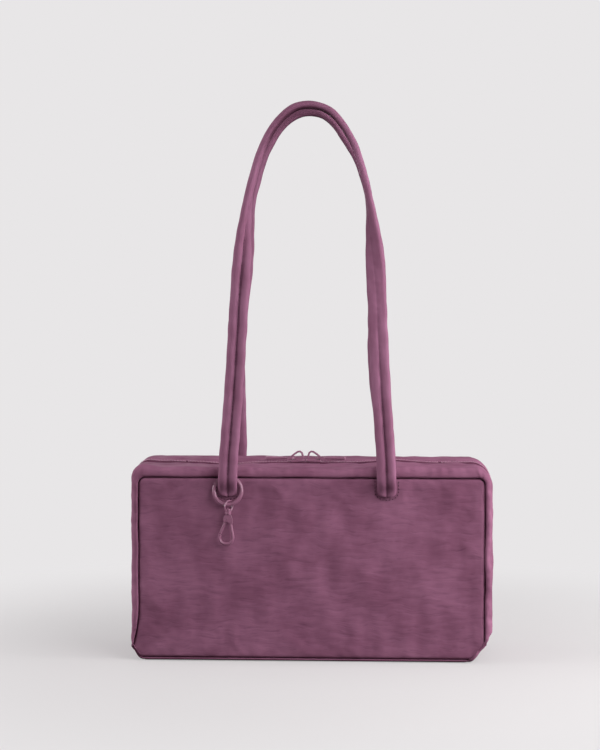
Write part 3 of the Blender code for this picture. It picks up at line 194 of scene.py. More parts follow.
def run_length(points):
    """Distance along a line of points from its first one."""
    steps = np.linalg.norm(np.diff(points, axis=0), axis=1)
    return np.concatenate([[0], np.cumsum(steps)])


def smooth_line(points, step):
    """A Catmull-Rom curve through the points, then cut into even steps."""
    points = np.asarray(points, float)
    before = np.vstack([2 * points[:1] - points[1:2], points[:-2]])
    after = np.vstack([points[2:], 2 * points[-1:] - points[-2:-1]])
    start, end = points[:-1], points[1:]
    t = np.linspace(0, 1, 24, endpoint=False)[None, :, None]
    before, after, start, end = (values[:, None] for values in (before, after, start, end))
    curve = 0.5 * (
        2 * start
        + (end - before) * t
        + (2 * before - 5 * start + 4 * end - after) * t**2
        + (3 * start - before - 3 * end + after) * t**3
    )
    curve = np.vstack([curve.reshape(-1, points.shape[1]), points[-1:]])
    gone = run_length(curve)
    even = np.linspace(0, gone[-1], int(gone[-1] / step) + 2)
    return np.stack([np.interp(even, gone, values) for values in curve.T], axis=1)


# Materials
def linear(text):
    """A colour written in sRGB hex, as the linear values that a shader takes."""
    value = np.array([int(text[i : i + 2], 16) for i in (1, 3, 5)]) / 255
    value = np.where(value <= 0.04045, value / 12.92, ((value + 0.055) / 1.055) ** 2.4)
    return (*value.tolist(), 1)


def add(tree, kind, inputs=(), **settings):
    """Adds a node with its settings. Each input is a value or a socket to link."""
    made = tree.nodes.new(kind)
    for name, value in settings.items():
        setattr(made, name, value)
    for key, value in dict(inputs).items():
        if isinstance(value, bpy.types.NodeSocket):
            tree.links.new(value, made.inputs[key])
        else:
            made.inputs[key].default_value = value
    return made


def new_finish(name, **values):
    """An empty material: its tree, and its shader with the given uniform values."""
    made = bpy.data.materials.new(name)
    made.use_nodes = True
    shader = made.node_tree.nodes["Principled BSDF"]
    for key, value in values.items():
        shader.inputs[key.replace("_", " ")].default_value = value
    return made, made.node_tree, shader


def calculate(tree, operation, *inputs):
    """The output of a Math node."""
    return add(tree, "ShaderNodeMath", enumerate(inputs), operation=operation).outputs[0]


def mixed(tree, share, first, second):
    """Two colours, written out or from sockets, mixed by a share."""
    inputs = {0: share, 6: first, 7: second}
    return add(tree, "ShaderNodeMix", inputs, data_type="RGBA").outputs[2]


def noise(tree, place, scale, detail):
    """The value of a noise texture."""
    return add(tree, "ShaderNodeTexNoise", {0: place, "Scale": scale, "Detail": detail}).outputs[0]


def ranged(tree, value, start, full, low, high):
    """A value that goes smoothly from low at start to high at full."""
    names = ("Value", "From Min", "From Max", "To Min", "To Max")
    inputs = zip(names, (value, start, full, low, high))
    return add(tree, "ShaderNodeMapRange", inputs, interpolation_type="SMOOTHSTEP").outputs[0]


# Plum painted in as the shade in the depth of a crease, and as the shadow of a seam
CREASE_SHADE, SEAM_SHADOW = "#44263A", "#2C0E1C"


def crinkled_nylon(name, dark, light, crease=1.0):
    """Crinkled nylon: plain-woven polyamide, garment-washed so that it sets in fine creases across
    the cloth. Its noise has soft clouds of lighter and darker cloth, and long shallow creases and
    short fine ones, which give the relief and whose depth is painted darker as shade."""
    made, tree, shader = new_finish(name, Roughness=0.7, Sheen_Weight=0.03, Sheen_Roughness=0.5)
    shader.inputs["Specular IOR Level"].default_value = 0.12
    shader.inputs["Specular Tint"].default_value = linear("#E2B8CC")
    shader.inputs["Sheen Tint"].default_value = linear("#C88FAC")
    # the map sways by a few millimetres, so that no crease runs straight
    place = add(tree, "ShaderNodeUVMap", uv_map="cloth").outputs[0]
    centred = calculate(tree, "SUBTRACT", noise(tree, place, 1 / 0.018, 1), 0.5)
    offset = add(tree, "ShaderNodeCombineXYZ", {1: calculate(tree, "MULTIPLY", centred, 0.008)})
    warped = add(tree, "ShaderNodeVectorMath", {0: place, 1: offset.outputs[0]}, operation="ADD")

    def layer(across, up, detail):
        """Noise whose spots have a real width and height."""
        scale = (1 / across, 1 / up, 1)
        sized = add(tree, "ShaderNodeMapping", {0: warped.outputs[0], "Scale": scale})
        return noise(tree, sized.outputs[0], 1, detail)

    cloud, patchy = layer(0.050, 0.040, 2), layer(0.012, 0.014, 2)
    long, short = layer(0.021, 0.0036, 2), layer(0.010, 0.0016, 1)
    shade = ranged(tree, calculate(tree, "MULTIPLY_ADD", patchy, 0.5, cloud), 0.52, 0.98, 0, 1)
    cloth = mixed(tree, shade, linear(dark), linear(light))
    # painted shade: the colour darkens where the creases are deep
    long_depth = ranged(tree, long, 0.43, 0.29, 0, 0.20 * crease)
    short_depth = ranged(tree, short, 0.39, 0.26, 0, 0.17 * crease)
    creases = calculate(tree, "ADD", long_depth, short_depth)
    crease_shaded = mixed(tree, creases, cloth, linear(CREASE_SHADE))
    # painted shade: the dark attribute darkens the colour towards SEAM_SHADOW beside seams, under
    # the base, in the strap's groove and between the handles
    seam = add(tree, "ShaderNodeAttribute", attribute_name="dark").outputs["Fac"]
    with_painted_shade = mixed(tree, seam, crease_shaded, linear(SEAM_SHADOW))
    tree.links.new(with_painted_shade, shader.inputs["Base Color"])
    fine = calculate(tree, "MULTIPLY_ADD", short, 0.35, long)
    relief = {"Height": fine, "Distance": 0.0005 * crease, "Strength": 0.5}
    tree.links.new(add(tree, "ShaderNodeBump", relief).outputs[0], shader.inputs["Normal"])
    return made


def grained(name, base, other, size, relief, roughness, coat=0.0, stretch=(1, 1, 1), rounded=0.0):
    """A finish with a fine grain of a real size on Object coordinates, which mixes two near
    colours and gives the same grain its relief. rounded softens the edges of hard pieces."""
    made, tree, shader = new_finish(name, Roughness=roughness, Coat_Weight=coat)
    shader.inputs["Specular IOR Level"].default_value = 0.5 if coat else 0.2
    place = add(tree, "ShaderNodeTexCoord").outputs["Object"]
    scaled = add(tree, "ShaderNodeMapping", {0: place, "Scale": tuple(s / size for s in stretch)})
    grain = noise(tree, scaled.outputs[0], 1, 3)
    tree.links.new(mixed(tree, grain, linear(base), linear(other)), shader.inputs["Base Color"])
    bump = add(tree, "ShaderNodeBump", {"Height": grain, "Distance": relief, "Strength": 0.5})
    if rounded:
        edges = add(tree, "ShaderNodeBevel", {"Radius": rounded}, samples=6)
        tree.links.new(edges.outputs[0], bump.inputs["Normal"])
    tree.links.new(bump.outputs[0], shader.inputs["Normal"])
    return made


NYLON = crinkled_nylon("crinkled nylon, washed", "#784B62", "#8B5B74")
# Strap cloth is the same nylon pulled tight over its filler, so its creases are weak
STRAP_NYLON = crinkled_nylon("crinkled nylon, pulled tight", "#7A4E65", "#885B74", crease=0.35)
# Die-cast zinc with a sprayed and baked semi-gloss paint: faint orange peel, soft highlights
ZINC_GRAIN = ("#815069", "#8E5D76", 0.0006, 0.00003, 0.38)
PAINTED_ZINC = grained("die-cast zinc, sprayed paint", *ZINC_GRAIN, coat=0.15, rounded=0.0003)
# Moulded acetal teeth: even colour, a soft plastic shine
MOULDED_TEETH = grained("acetal teeth, moulded", "#9A6A82", "#A8788F", 0.0008, 0.00002, 0.42)
# Woven polyester zip tape: matte, fine ribs along its length
TAPE_GRAIN = ("#4E2439", "#5C3148", 0.0005, 0.00008, 0.75)
ZIP_TAPE = grained("polyester tape, woven", *TAPE_GRAIN, stretch=(0.3, 1, 1))
# Polyester sewing thread: twisted, a little shinier than the cloth
THREAD = grained("polyester thread, twisted", "#2A1020", "#3E2034", 0.0003, 0.00006, 0.5)
# Lining: thin polyester taffeta, smooth with fine cross threads
TAFFETA = grained("polyester taffeta, woven", "#5B3A4C", "#674456", 0.0005, 0.00004, 0.5)
# Polyethylene foam sheet, cut from a block: matte open cells
FOAM_SHEET = grained("polyethylene foam, cut", "#D9D6CF", "#CFCBC2", 0.0012, 0.0002, 0.9)
# Grey pressed fibre board: matte, small mixed fibres
FIBRE_BOARD = grained("fibre board, pressed", "#8E8578", "#7A7164", 0.0015, 0.00008, 0.85)


# The strip round the body
def outline(share, crown, u):
    """x and z round the body, for u from 0 at the left split down, under and round to 12. The
    frame is a rounded rectangle that grows with share from the seam's to the outer one. Straight
    runs are linear in u and corners are quarter circles."""
    half = WIDTH / 2 - SEAM_SIDE + (SEAM_SIDE - CROWN) * share + CROWN * crown
    bottom = SEAM_BOTTOM * (1 - share)
    top = HEIGHT - SEAM_TOP + (SEAM_TOP - CROWN) * share + CROWN * crown
    low = BASE_RADIUS
    outer_high = np.where(u > 8.5, LEFT_RADIUS, RIGHT_RADIUS)
    high = SEAM_RADIUS + (outer_high - SEAM_RADIUS) * share + CROWN * crown
    leg = np.clip(np.floor(u), 0, 11)
    f = u - leg
    sine, cosine = np.sin(f * pi / 2), np.cos(f * pi / 2)
    across = (
        -half,
        -half + low * (1 - cosine),
        (half - low) * (2 * f - 1),
        half - low + low * sine,
        half,
        half,
        half - high + high * cosine,
        half - high + (MOUTH - half + high) * f,
        MOUTH * (1 - 2 * f),
        -MOUTH - (half - high - MOUTH) * f,
        -half + high * (1 - sine),
        -half,
    )
    up = (
        SPLIT_Z + (bottom + low - SPLIT_Z) * f,
        bottom + low * (1 - sine),
        bottom,
        bottom + low * (1 - cosine),
        bottom + low + (SPLIT_Z - bottom - low) * f,
        SPLIT_Z + (top - high - SPLIT_Z) * f,
        top - high + high * sine,
        top,
        top,
        top,
        top - high + high * cosine,
        top - high + (SPLIT_Z - top + high) * f,
    )
    pick = np.broadcast_to(leg, np.broadcast(half, u).shape).astype(int)
    flat = [np.broadcast_to(values + 0 * f, pick.shape) for values in across + up]
    x, z = np.choose(pick, flat[:12]), np.choose(pick, flat[12:])
    return draw_in(x, z, share), z


def draw_in(x, z, share, behind=0.0016):
    """x with the two bottom corners drawn in. The side lip tapers to nothing at the left and is cut
    across at the right, and the shift fades towards the middle of the bag. The strip tucks in
    behind the panel at the cut corners."""
    lip = SEAM_SIDE * (1 - share)
    left_cut = LEFT_CUT * ramp(LEFT_CUT_TOP - z, LEFT_CUT_TOP) ** 1.25
    left_lip = lip * (1 - ramp(0.046 - z, 0.040) ** 2)
    right_cut = RIGHT_CUT * ramp(RIGHT_CUT_TOP - z, RIGHT_CUT_TOP) ** 1.12
    tucked = behind + 0.12 * share * right_cut
    left = smooth_max(left_lip, left_cut + behind * ramp(left_cut, 0.003)) - lip
    right = smooth_max(lip, right_cut + tucked * ramp(right_cut - 0.0065, 0.003)) - lip
    fade = step_up((np.abs(x) - 0.095) / 0.05)
    return x + fade * np.where(x < 0, left, -right) * ramp(0.06 - z, 0.01)


def smooth_max(a, b, soft=0.0012):
    """The larger of two lengths, with a rounded change from one to the other."""
    rounded = 0.5 * (a + b + np.sqrt((a - b) ** 2 + soft**2))
    return rounded - 0.5 * soft * np.exp(-np.abs(a - b) / soft)


# Lengths of the outline's twelve legs, and of one step along them
RUNS = (0.122, 0.005, 0.300, 0.005, 0.122, 0.023, 0.03, 0.031, 0.208, 0.034, 0.026, 0.026)
STEP = 0.0017


def strip_rows():
    """Values of u about a step apart, and the row at which each whole number lies."""
    counts = [2 * max(int(run / STEP / 2), 4) for run in RUNS]
    u = np.concatenate([leg + np.arange(count) / count for leg, count in enumerate(counts)])
    return np.append(u, 12), np.concatenate([[0], np.cumsum(counts)])


def strip_columns():
    """Across half the strip, from the seam allowance over the lip to the zip and the middle:
    share of the frame, depth y, and the columns at the hinge and at the slot. The lip is a
    quarter of a superellipse."""
    roll = np.linspace(pi / 2, 0, 6)
    lip = np.linspace(0, pi / 2, 12)[1:]
    share = np.concatenate([[0, 0], 0.22 * (1 - np.sin(roll)), 0.22 + 0.78 * np.sin(lip) ** 0.9])
    allowance = [FACE - 0.006, FACE - 0.0042]
    rolled = FACE - 0.0032 * (1 - np.cos(roll))
    y = np.concatenate([allowance, rolled, HINGE_Y + (FACE - HINGE_Y) * np.cos(lip) ** 0.9])
    hinge = len(y) - 1
    to_slot = np.linspace(HINGE_Y, SLOT, 18)[1:]
    flat = np.concatenate([to_slot, np.linspace(SLOT, 0, 4)[1:]])
    share = np.concatenate([share, np.ones(len(flat))])
    return share, np.concatenate([y, flat]), hinge, hinge + len(to_slot)


def zip_wave(x):
    """How far the zip rises or sinks along x. It lies level where a slider stops."""
    return 0.0021 * hump(x, 0.070, 0.021) - 0.0016 * hump(x, -0.070, 0.021)


# How far the front lip's ridge lies below the top, in millimetres, at places along x
RIDGE_X = (-0.16, -0.135, -0.115, -0.09, -0.06, -0.035, 0.02, 0.045, 0.062, 0.1, 0.118, 0.134, 0.16)
RIDGE_DROP = (2.2, 2.6, 2.4, 2.0, 2.6, 3.5, 3.6, 2.8, 1.2, 1.0, 1.9, 2.6, 2.2)


def shallower(x):
    """1 along the top, and less where the zip goes round the corners and down the sides."""
    return 1 - 0.45 * step_up((np.abs(x) - CHAIN_END - 0.018) / 0.02)


def beside_zip(y):
    """0 at the edge of the zip's slot, and 1 from the hinge outward."""
    return ramp(np.abs(y) - SLOT, HINGE_Y - SLOT)


def zip_valley(x, y):
    """How deep the cloth sits beside the zip. It rises evenly to the front hinge, and sooner
    towards the back one."""
    share = beside_zip(y)
    deep = (HEIGHT - CHAIN_Z) * shallower(x) + 0.0004 - zip_wave(x) - 0.0016 * hump(x, 0.121, 0.010)
    return deep * np.where(y < 0, 1 - share, (1 - share) ** 3)


def sag(x, y):
    """How far the soft top sinks besides: the front half sags towards the ridge of its lip, with
    shallow folds across it."""
    share = beside_zip(y)
    ridge = 0.001 * np.interp(x, RIDGE_X, RIDGE_DROP) * share
    swell = 0.0005 * hump(x, -0.15, 0.03) - 0.0010 * hump(x, -0.052, 0.012)
    swell = swell + 0.0003 * np.sin(x / 0.008)
    folds = 0.00035 * waves(x, y, 12, (0.025, 0.06), (0.03, 0.08)) * np.sin(share * pi)
    back = 0.0003 * hump(x, 0.08, 0.03) * share
    return np.where(y < 0, ridge + swell * np.sin(share * pi), back) + folds


def strip_grid():
    """The whole strip as one grid, so that its pieces meet without a step: its points, map and
    painted shade, the rows where the outline's legs meet, and the columns of hinge and slot."""
    u, breaks = strip_rows()
    share, y, hinge, slot = strip_columns()
    share = np.concatenate([share, share[-2::-1]])
    y = np.concatenate([-y, y[-2::-1]])
    crown = np.clip(1 - (y / HINGE_Y) ** 2, 0, 1)
    x, z = outline(share[None], crown[None], u[:, None])
    points = np.stack([x, np.broadcast_to(y, x.shape), z], axis=2)
    along = run_length(points[:, hinge])[:, None] + 0 * x
    across = run_length(points[0])
    across = (across - across[len(across) // 2])[None] + 0 * x
    from_seam = np.abs(np.abs(across) - np.abs(across).max())
    on_base = ramp(0.012 - z, 0.010)
    on_side = ramp(0.150 - z, 0.02)
    # dents on the sides, creases, puckers by seam and zip, and a pressed place under the ring
    flat = np.clip(1.15 - np.abs(y / HINGE_Y) ** 3, 0, 1)[None]
    height = 0.00055 * flat * on_side * waves(along, across, 3, (0.03, 0.09), (0.03, 0.09))
    creases = 0.00035 * waves(along, across, 4, (0.025, 0.07), (0.008, 0.02))
    height += creases * ramp(from_seam, 0.006)
    pucker = ramp(from_seam - 0.004, 0.004) * ramp(0.017 - from_seam, 0.006)
    height += 0.00028 * pucker * waves(along, across, 5, (0.007, 0.02), (0.02, 0.06))
    by_zip = np.exp(-np.abs(np.abs(y) - SLOT) / 0.008)[None] * (z > SPLIT_Z)
    height += 0.00016 * by_zip * waves(along, across, 6, (0.008, 0.02), (0.05, 0.1))
    under_ring = np.clip(1.6 - np.abs(x - RING_X) / 0.014, 0, 1) * (z > 0.14)
    under_ring = under_ring * np.clip(1.4 - from_seam / 0.008, 0, 1)
    points = lift(points, height * (1 - on_base) * (1 - under_ring) - 0.0004 * under_ring)
    # the valley and the sag go straight in towards the bag, also round the corners
    tangent = np.gradient(points[:, slot], axis=0)
    inward = np.stack([-tangent[:, 2], 0 * tangent[:, 0], tangent[:, 0]], axis=1)
    inward /= np.linalg.norm(inward, axis=1, keepdims=True)
    inward *= np.sign(np.sum(inward * ((0, 0, 0.09) - points[:, slot]), axis=1, keepdims=True))
    x, y = points[..., 0], points[..., 1]
    past_hinge = ramp(np.abs(y) - HINGE_Y, FACE - HINGE_Y)
    sunk = sag(x, y) * step_up((z - 0.1535) / 0.0105) * (1 - 0.6 * past_hinge)
    sunk = sunk * (1 - step_up((np.abs(x) - 0.122) / 0.022))
    depth = zip_valley(x, y) * ramp(z - 0.1262, 0.006) + sunk
    points += inward[:, None] * depth[..., None]
    # the seam's shadow, weaker down the sides, and the shade under the base
    beside_panel = on_side * ramp(z - 0.004, 0.01)
    strength = 1 - beside_panel * np.where(x < 0, 0.8, 0.55)
    dark = strength * np.clip(1 - from_seam / 0.0042, 0, 1) ** 1.5
    under = on_base * ramp(from_seam - 0.0050, 0.003) * ramp(0.030 - from_seam, 0.010)
    uv = np.stack([along, across], axis=2)
    return points, uv, np.maximum(dark, 0.85 * under), breaks, hinge, slot


def cut(grid, rows, columns, face="front"):
    """A part of the strip's grid as a patch that faces out. Columns are counted from the front
    edge, and for the back from the back one."""
    points, uv, dark = grid[:3]
    if face == "back":
        last = points.shape[1] - 1
        columns = last - columns[1], last - columns[0]
    rows, columns = slice(rows[0], rows[1] + 1), slice(columns[0], columns[1] + 1)
    return patch(points[rows, columns], uv[rows, columns], flip=True, dark=dark[rows, columns])


grid = strip_grid()
breaks, hinge, slot = grid[3:]
middle = (breaks[8] + breaks[9]) // 2
# The same surface a little further in, for the facing
inner = (lift(grid[0], np.full(grid[0].shape[:2], -0.0017)), *grid[1:3])
piece(
    "side_and_bottom_strip", [cut(grid, (breaks[0], breaks[5]), (0, grid[0].shape[1] - 1))],
    [NYLON], "bag", ["side_bottom_gusset"], wall=FABRIC,
)
for face, side in FACES:
    lip = cut(grid, (breaks[5], breaks[12]), (0, hinge), face)
    ends = [
        cut(grid, (breaks[5], breaks[8]), (hinge, slot), face),
        cut(grid, (breaks[9], breaks[12]), (hinge, slot), face),
    ]
    piece(
        f"top_strip_{face}", [lip, *ends], [NYLON], "bag",
        [f"zip_gusset_{face}"], weld=1e-6, wall=FABRIC,
    )
    halves = ("right", (breaks[8], middle), MOUTH), ("left", (middle, breaks[9]), -MOUTH)
    for hand, rows, x in halves:
        flap = piece(
            f"mouth_flap_{face}_{hand}", [cut(grid, rows, (hinge, slot), face)], [NYLON],
            wall=FABRIC, replaced=[f"mouth_flap_{face}"],
        )
        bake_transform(flap)
    # a strip of facing under the fold, which closes the crease when the flap stands up
    piece(
        f"fold_facing_{face}", [cut(inner, (breaks[8], breaks[9]), (hinge - 1, hinge + 2), face)],
        [NYLON], "bag", wall=0.0004,
    )


# The two panels
def edge_distance(x, z, half, bottom, top, radius):
    """Distance in from the edge of a rounded rectangle, whose corners are nearly square at the
    base."""
    radius = np.where(z < (bottom + top) / 2, BASE_RADIUS, radius)
    out_x = np.abs(x) - (half - radius)
    out_z = np.abs(z - (bottom + top) / 2) - ((top - bottom) / 2 - radius)
    corner = np.hypot(np.maximum(out_x, 0), np.maximum(out_z, 0))
    return radius - corner - np.minimum(np.maximum(out_x, out_z), 0)


# Half width, bottom, top and the radius of the upper corners. The foam stops short of them
PANEL = (WIDTH / 2 - SEAM_SIDE - GAP, SEAM_BOTTOM + GAP, HEIGHT - SEAM_TOP - GAP, SEAM_RADIUS - GAP)
FOAM_INSET = 0.010


def closer_at_ends(low, high, step):
    """Places from low to high, close together at both ends, with each end twice for the rim."""
    near = np.array([0, 0, 0.0003, 0.0008, 0.0015, 0.0024, 0.0035, 0.005])
    count = int((high - low - 2 * near[-1]) / step)
    even = np.linspace(low + near[-1], high - near[-1], count)[1:-1]
    return np.concatenate([low + near, even, (high - near)[::-1]])


def settled(side):
    """Cloth simulation of a panel: a flat sheet a little larger than its seams, held all round and
    pushed out softly. Returns how far out it stands on an even grid, capped."""
    half, bottom, top, _ = PANEL
    columns, rows, last = 73, 39, 20
    x, z = np.meshgrid(np.linspace(-half, half, columns), np.linspace(bottom, top, rows))
    start = np.stack([x, np.full_like(x, side * FACE), z], axis=2)
    start[..., 1] += side * 0.0004 * waves(x, z, 21 if side < 0 else 22, (0.02, 0.05), (0.03, 0.07))
    sheet = piece("panel_trial", [patch(start)], [])
    group = sheet.vertex_groups.new(name="seam")
    group.add(np.flatnonzero(rim_of((rows, columns)).ravel()).tolist(), 1, "REPLACE")
    cloth = sheet.modifiers.new("cloth", "CLOTH")
    values = cloth.settings
    values.quality = 8
    values.mass = 0.15
    values.vertex_group_mass = "seam"
    values.tension_stiffness = values.compression_stiffness = 25
    values.bending_stiffness = 0.25
    values.shrink_min = -0.014
    values.use_pressure = True
    values.uniform_pressure_force = -0.6 * side
    values.effector_weights.gravity = 0
    cloth.point_cache.frame_start, cloth.point_cache.frame_end = 1, last
    scene = bpy.context.scene
    scene.frame_start, scene.frame_end = 1, last
    for number in range(1, last + 1):
        scene.frame_set(number)
    graph = bpy.context.evaluated_depsgraph_get()
    done = sheet.evaluated_get(graph).to_mesh()
    out = np.empty(len(done.vertices) * 3)
    done.vertices.foreach_get("co", out)
    depth = side * out.reshape(rows, columns, 3)[..., 1] - FACE
    scene.frame_set(1)
    bpy.data.objects.remove(sheet)
    return np.clip(depth, -0.0014, 0.0018)


def sampled(field, x, z):
    """A field on an even grid over the panel, read between its points."""
    half, bottom, top, _ = PANEL
    rows, columns = field.shape
    a = ramp(x + half, 2 * half) * (columns - 1)
    b = ramp(z - bottom, top - bottom) * (rows - 1)
    i, j = np.minimum(a.astype(int), columns - 2), np.minimum(b.astype(int), rows - 2)
    f, g = step_up(a - i), step_up(b - j)
    upper = field[j + 1, i] * (1 - f) + field[j + 1, i + 1] * f
    return (field[j, i] * (1 - f) + field[j, i + 1] * f) * (1 - g) + upper * g


def panel_grid(side, step=0.002):
    """A panel: each row spans the rounded rectangle, the face rolls back to the seam in a quarter
    circle, and the outermost lines run into the body as the seam allowance."""
    half, bottom, top, radius = PANEL
    front = side < 0
    z = closer_at_ends(bottom, top, step)
    share = closer_at_ends(-half, half, step) / half
    from_end = np.minimum(z - bottom, top - z)
    radius = np.where(z < (bottom + top) / 2, BASE_RADIUS, radius)
    short = radius - np.sqrt(radius**2 - np.clip(radius - from_end, 0, radius) ** 2)
    x = share[None] * (half - short)[:, None]
    z = z[:, None] + 0 * x
    inside = np.clip(edge_distance(x, z, *PANEL), 0, 1)
    x = draw_in(x, z, 0, 0)
    roll = 0.0026
    back = roll * (1 - np.sqrt(1 - np.clip(1 - inside / roll, 0, 1) ** 2))
    back = back + 0.0007 * np.exp(-inside / 0.005)
    depth = FACE - back - np.where(rim_of(x.shape), 0.003, 0)
    soft = 0.00035 * waves(x, z, 31 if front else 32, (0.02, 0.06), (0.05, 0.14))
    soft = soft + 0.00012 * waves(x, z, 33 if front else 34, (0.02, 0.05), (0.004, 0.009))
    soft = soft + 0.6 * sampled(settled(side), x, z)
    grown = ramp(inside, 0.012)
    pucker = np.exp(-inside / 0.008) * ramp(inside, 0.002)
    soft = grown * soft + 0.0002 * pucker * waves(x, z, 35, (0.009, 0.02), (0.009, 0.02))
    points = np.stack([x, side * (depth + soft), z], axis=2)
    # painted shadow along the panel's seam, weaker down the sides
    on_side = ramp(0.148 - z, 0.01) * ramp(z - 0.004, 0.01)
    strength = 1 - on_side * np.where(x < 0, 0.9, 0.4)
    dark = strength * np.clip(1 - inside / 0.0011, 0, 1) ** 1.5
    return points, np.stack([x, z], axis=2), dark


for face, side in FACES:
    points, uv, dark = panel_grid(side)
    panel = piece(
        f"sewn_panel_{face}", [patch(points, uv, flip=side < 0, dark=dark)], [NYLON],
        "bag", [f"{face}_panel"], wall=FABRIC,
    )
    x = np.linspace(-PANEL[0] + FOAM_INSET, PANEL[0] - FOAM_INSET, 40)
    x, z = np.meshgrid(x, np.linspace(PANEL[1] + FOAM_INSET, PANEL[2] - FOAM_INSET, 24))
    y = side * (FACE - FABRIC - 0.0016 + 0.0002 * waves(x, z, 41, (0.03, 0.06), (0.03, 0.06)))
    foam = piece(
        f"padding_{face}", [patch(np.stack([x, y, z], axis=2), flip=side < 0)], [FOAM_SHEET],
        "bag", [f"{face}_foam"], wall=FOAM - 0.0008,
    )


# The zip
def teeth(places, along, across, up):
    """Moulded teeth: each is a tube that runs from its round head across the middle to its root on
    the tape's cord. Its section is a rounded bar, wide at the head and narrow at the neck."""
    reach = np.array([-0.0013, -0.00125, -0.0008, -0.0002, 0.0006, 0.0016, 0.00265, 0.0027])
    wide = np.array([0.15, 0.9, 1.12, 1.05, 0.7, 0.72, 0.85, 0.3]) * TOOTH_HALF_WIDTH
    tall = np.array([0.15, 0.82, 0.98, 1.0, 1.0, 1.0, 0.95, 0.4]) * TOOTH_DEPTH / 2
    turn = 2 * pi * (np.arange(8) + 0.5) / 8
    ring = np.stack([np.cos(turn), np.sin(turn)], axis=1)
    ring /= np.max(np.abs(ring), axis=1, keepdims=True) ** 0.75
    x = ring[None, :, 0] * wide[:, None]
    z = ring[None, :, 1] * tall[:, None]
    local = np.stack([x, reach[:, None] + 0 * x, z], axis=2)
    axes = np.stack([along, across, up], axis=1)
    return places[:, None, None] + np.einsum("rck,mkd->mrcd", local, axes)


def tape(line, up, across):
    """A woven tape beside a line: its edge cord holds the teeth, and from there it dips under the
    cloth."""
    share = np.concatenate([[0, 0.04, 0.08, 0.12, 0.17, 0.22, 0.28], np.linspace(0.36, 1, 5)])
    offset = CORD_EDGE + (TAPE_EDGE - CORD_EDGE) * share
    cord = 0.0005 * np.sin(ramp(share, 0.12) * pi)
    height = cord - 0.0021 * ramp(share - 0.08, 0.20) ** 0.7
    points = line[:, None] + across[:, None] * offset[None, :, None]
    points = points + up[:, None] * height[None, :, None]
    uv = np.stack(np.broadcast_arrays(run_length(line)[:, None], offset[None]), axis=2)
    return points, uv


def chain_line(low, high, step=0.002):
    """The line of the moving chain between two places along x."""
    x = np.linspace(low, high, int((high - low) / step) + 2)
    return np.stack([x, 0 * x, CHAIN_Z + zip_wave(x)], axis=1)


for face, side in FACES:
    # the back row of teeth lies half a pitch further along, between those of the front row
    phase = 1 if side < 0 else 1.5
    count = int(2 * (CHAIN_END - GAP) / PITCH) - 1
    x = -(CHAIN_END - GAP) + (np.arange(count) + phase) * PITCH
    for hand, low, high, end in (("left", -CHAIN_END, 0, -MOUTH), ("right", 0, CHAIN_END, MOUTH)):
        line = chain_line(low, high)
        flat = np.broadcast_to((0.0, 0.0, 1.0), line.shape)
        points, uv = tape(line, flat, np.broadcast_to((0.0, side, 0.0), line.shape))
        own = x[(x > low) & (x <= high)]
        places = np.stack([own, 0 * own, CHAIN_Z + zip_wave(own)], axis=1)
        ones = np.ones((len(own), 1))
        rows = teeth(places, ones * (1, 0, 0), ones * (0, side, 0), ones * (0, 0, 1))
        chain = piece(
            f"zip_half_{face}_{hand}",
            [patch(points, uv, flip=side > 0), patch(rows, wrap=True, flip=side < 0, finish=1)],
            [ZIP_TAPE, MOULDED_TEETH], replaced=[f"zip_chain_{face}"],
        )
        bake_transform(chain)


def end_line(side, step):
    """The closed zip past the mouth: along the top, round the corner and down the side. It stands
    a little higher there beside the lip. Returns its points, and the directions along and up."""
    drop = HEIGHT - CHAIN_Z
    half, radius = WIDTH / 2 - drop, (LEFT_RADIUS if side < 0 else RIGHT_RADIUS) + CROWN - drop
    run, bend = half - radius - CHAIN_END, radius * pi / 2
    fall = CHAIN_Z - radius - SPLIT_Z - 0.0012
    gone = np.arange(0, run + bend + fall, step)
    turn = np.clip((gone - run) / radius, 0, pi / 2)
    past = np.clip(gone - run - bend, 0, None)
    x = CHAIN_END + np.minimum(gone, run) + radius * np.sin(turn)
    z = CHAIN_Z - radius * (1 - np.cos(turn)) - past
    line = np.stack([side * x, 0 * x, z + zip_wave(side * x)], axis=1)
    up = np.stack([side * np.sin(turn), 0 * x, np.cos(turn)], axis=1)
    along = np.stack([side * np.cos(turn), 0 * x, -np.sin(turn)], axis=1)
    raised = drop * (1 - shallower(x)) + 0.0004 * ramp(x - CHAIN_END, 0.012)
    return line + raised[:, None] * up, along, up


for hand, side in (("left", -1), ("right", 1)):
    patches = []
    line, _, up = end_line(side, 0.0015)
    places, place_along, place_up = end_line(side, PITCH / 2)
    for face in (-1, 1):
        points, uv = tape(line, up, np.broadcast_to((0.0, face, 0.0), line.shape))
        patches.append(patch(points, uv, flip=face * side > 0))
        # each face has a tooth at every second place
        pick = slice(0 if face < 0 else 1, None, 2)
        out = np.ones((len(places[pick]), 1)) * (0, face, 0)
        rows = teeth(places[pick], place_along[pick], out, place_up[pick])
        patches.append(patch(rows, wrap=True, flip=face * side < 0, finish=1))
    piece(
        f"closed_zip_{hand}", patches, [ZIP_TAPE, MOULDED_TEETH], "bag",
        [f"zip_end_{hand}"],
    )


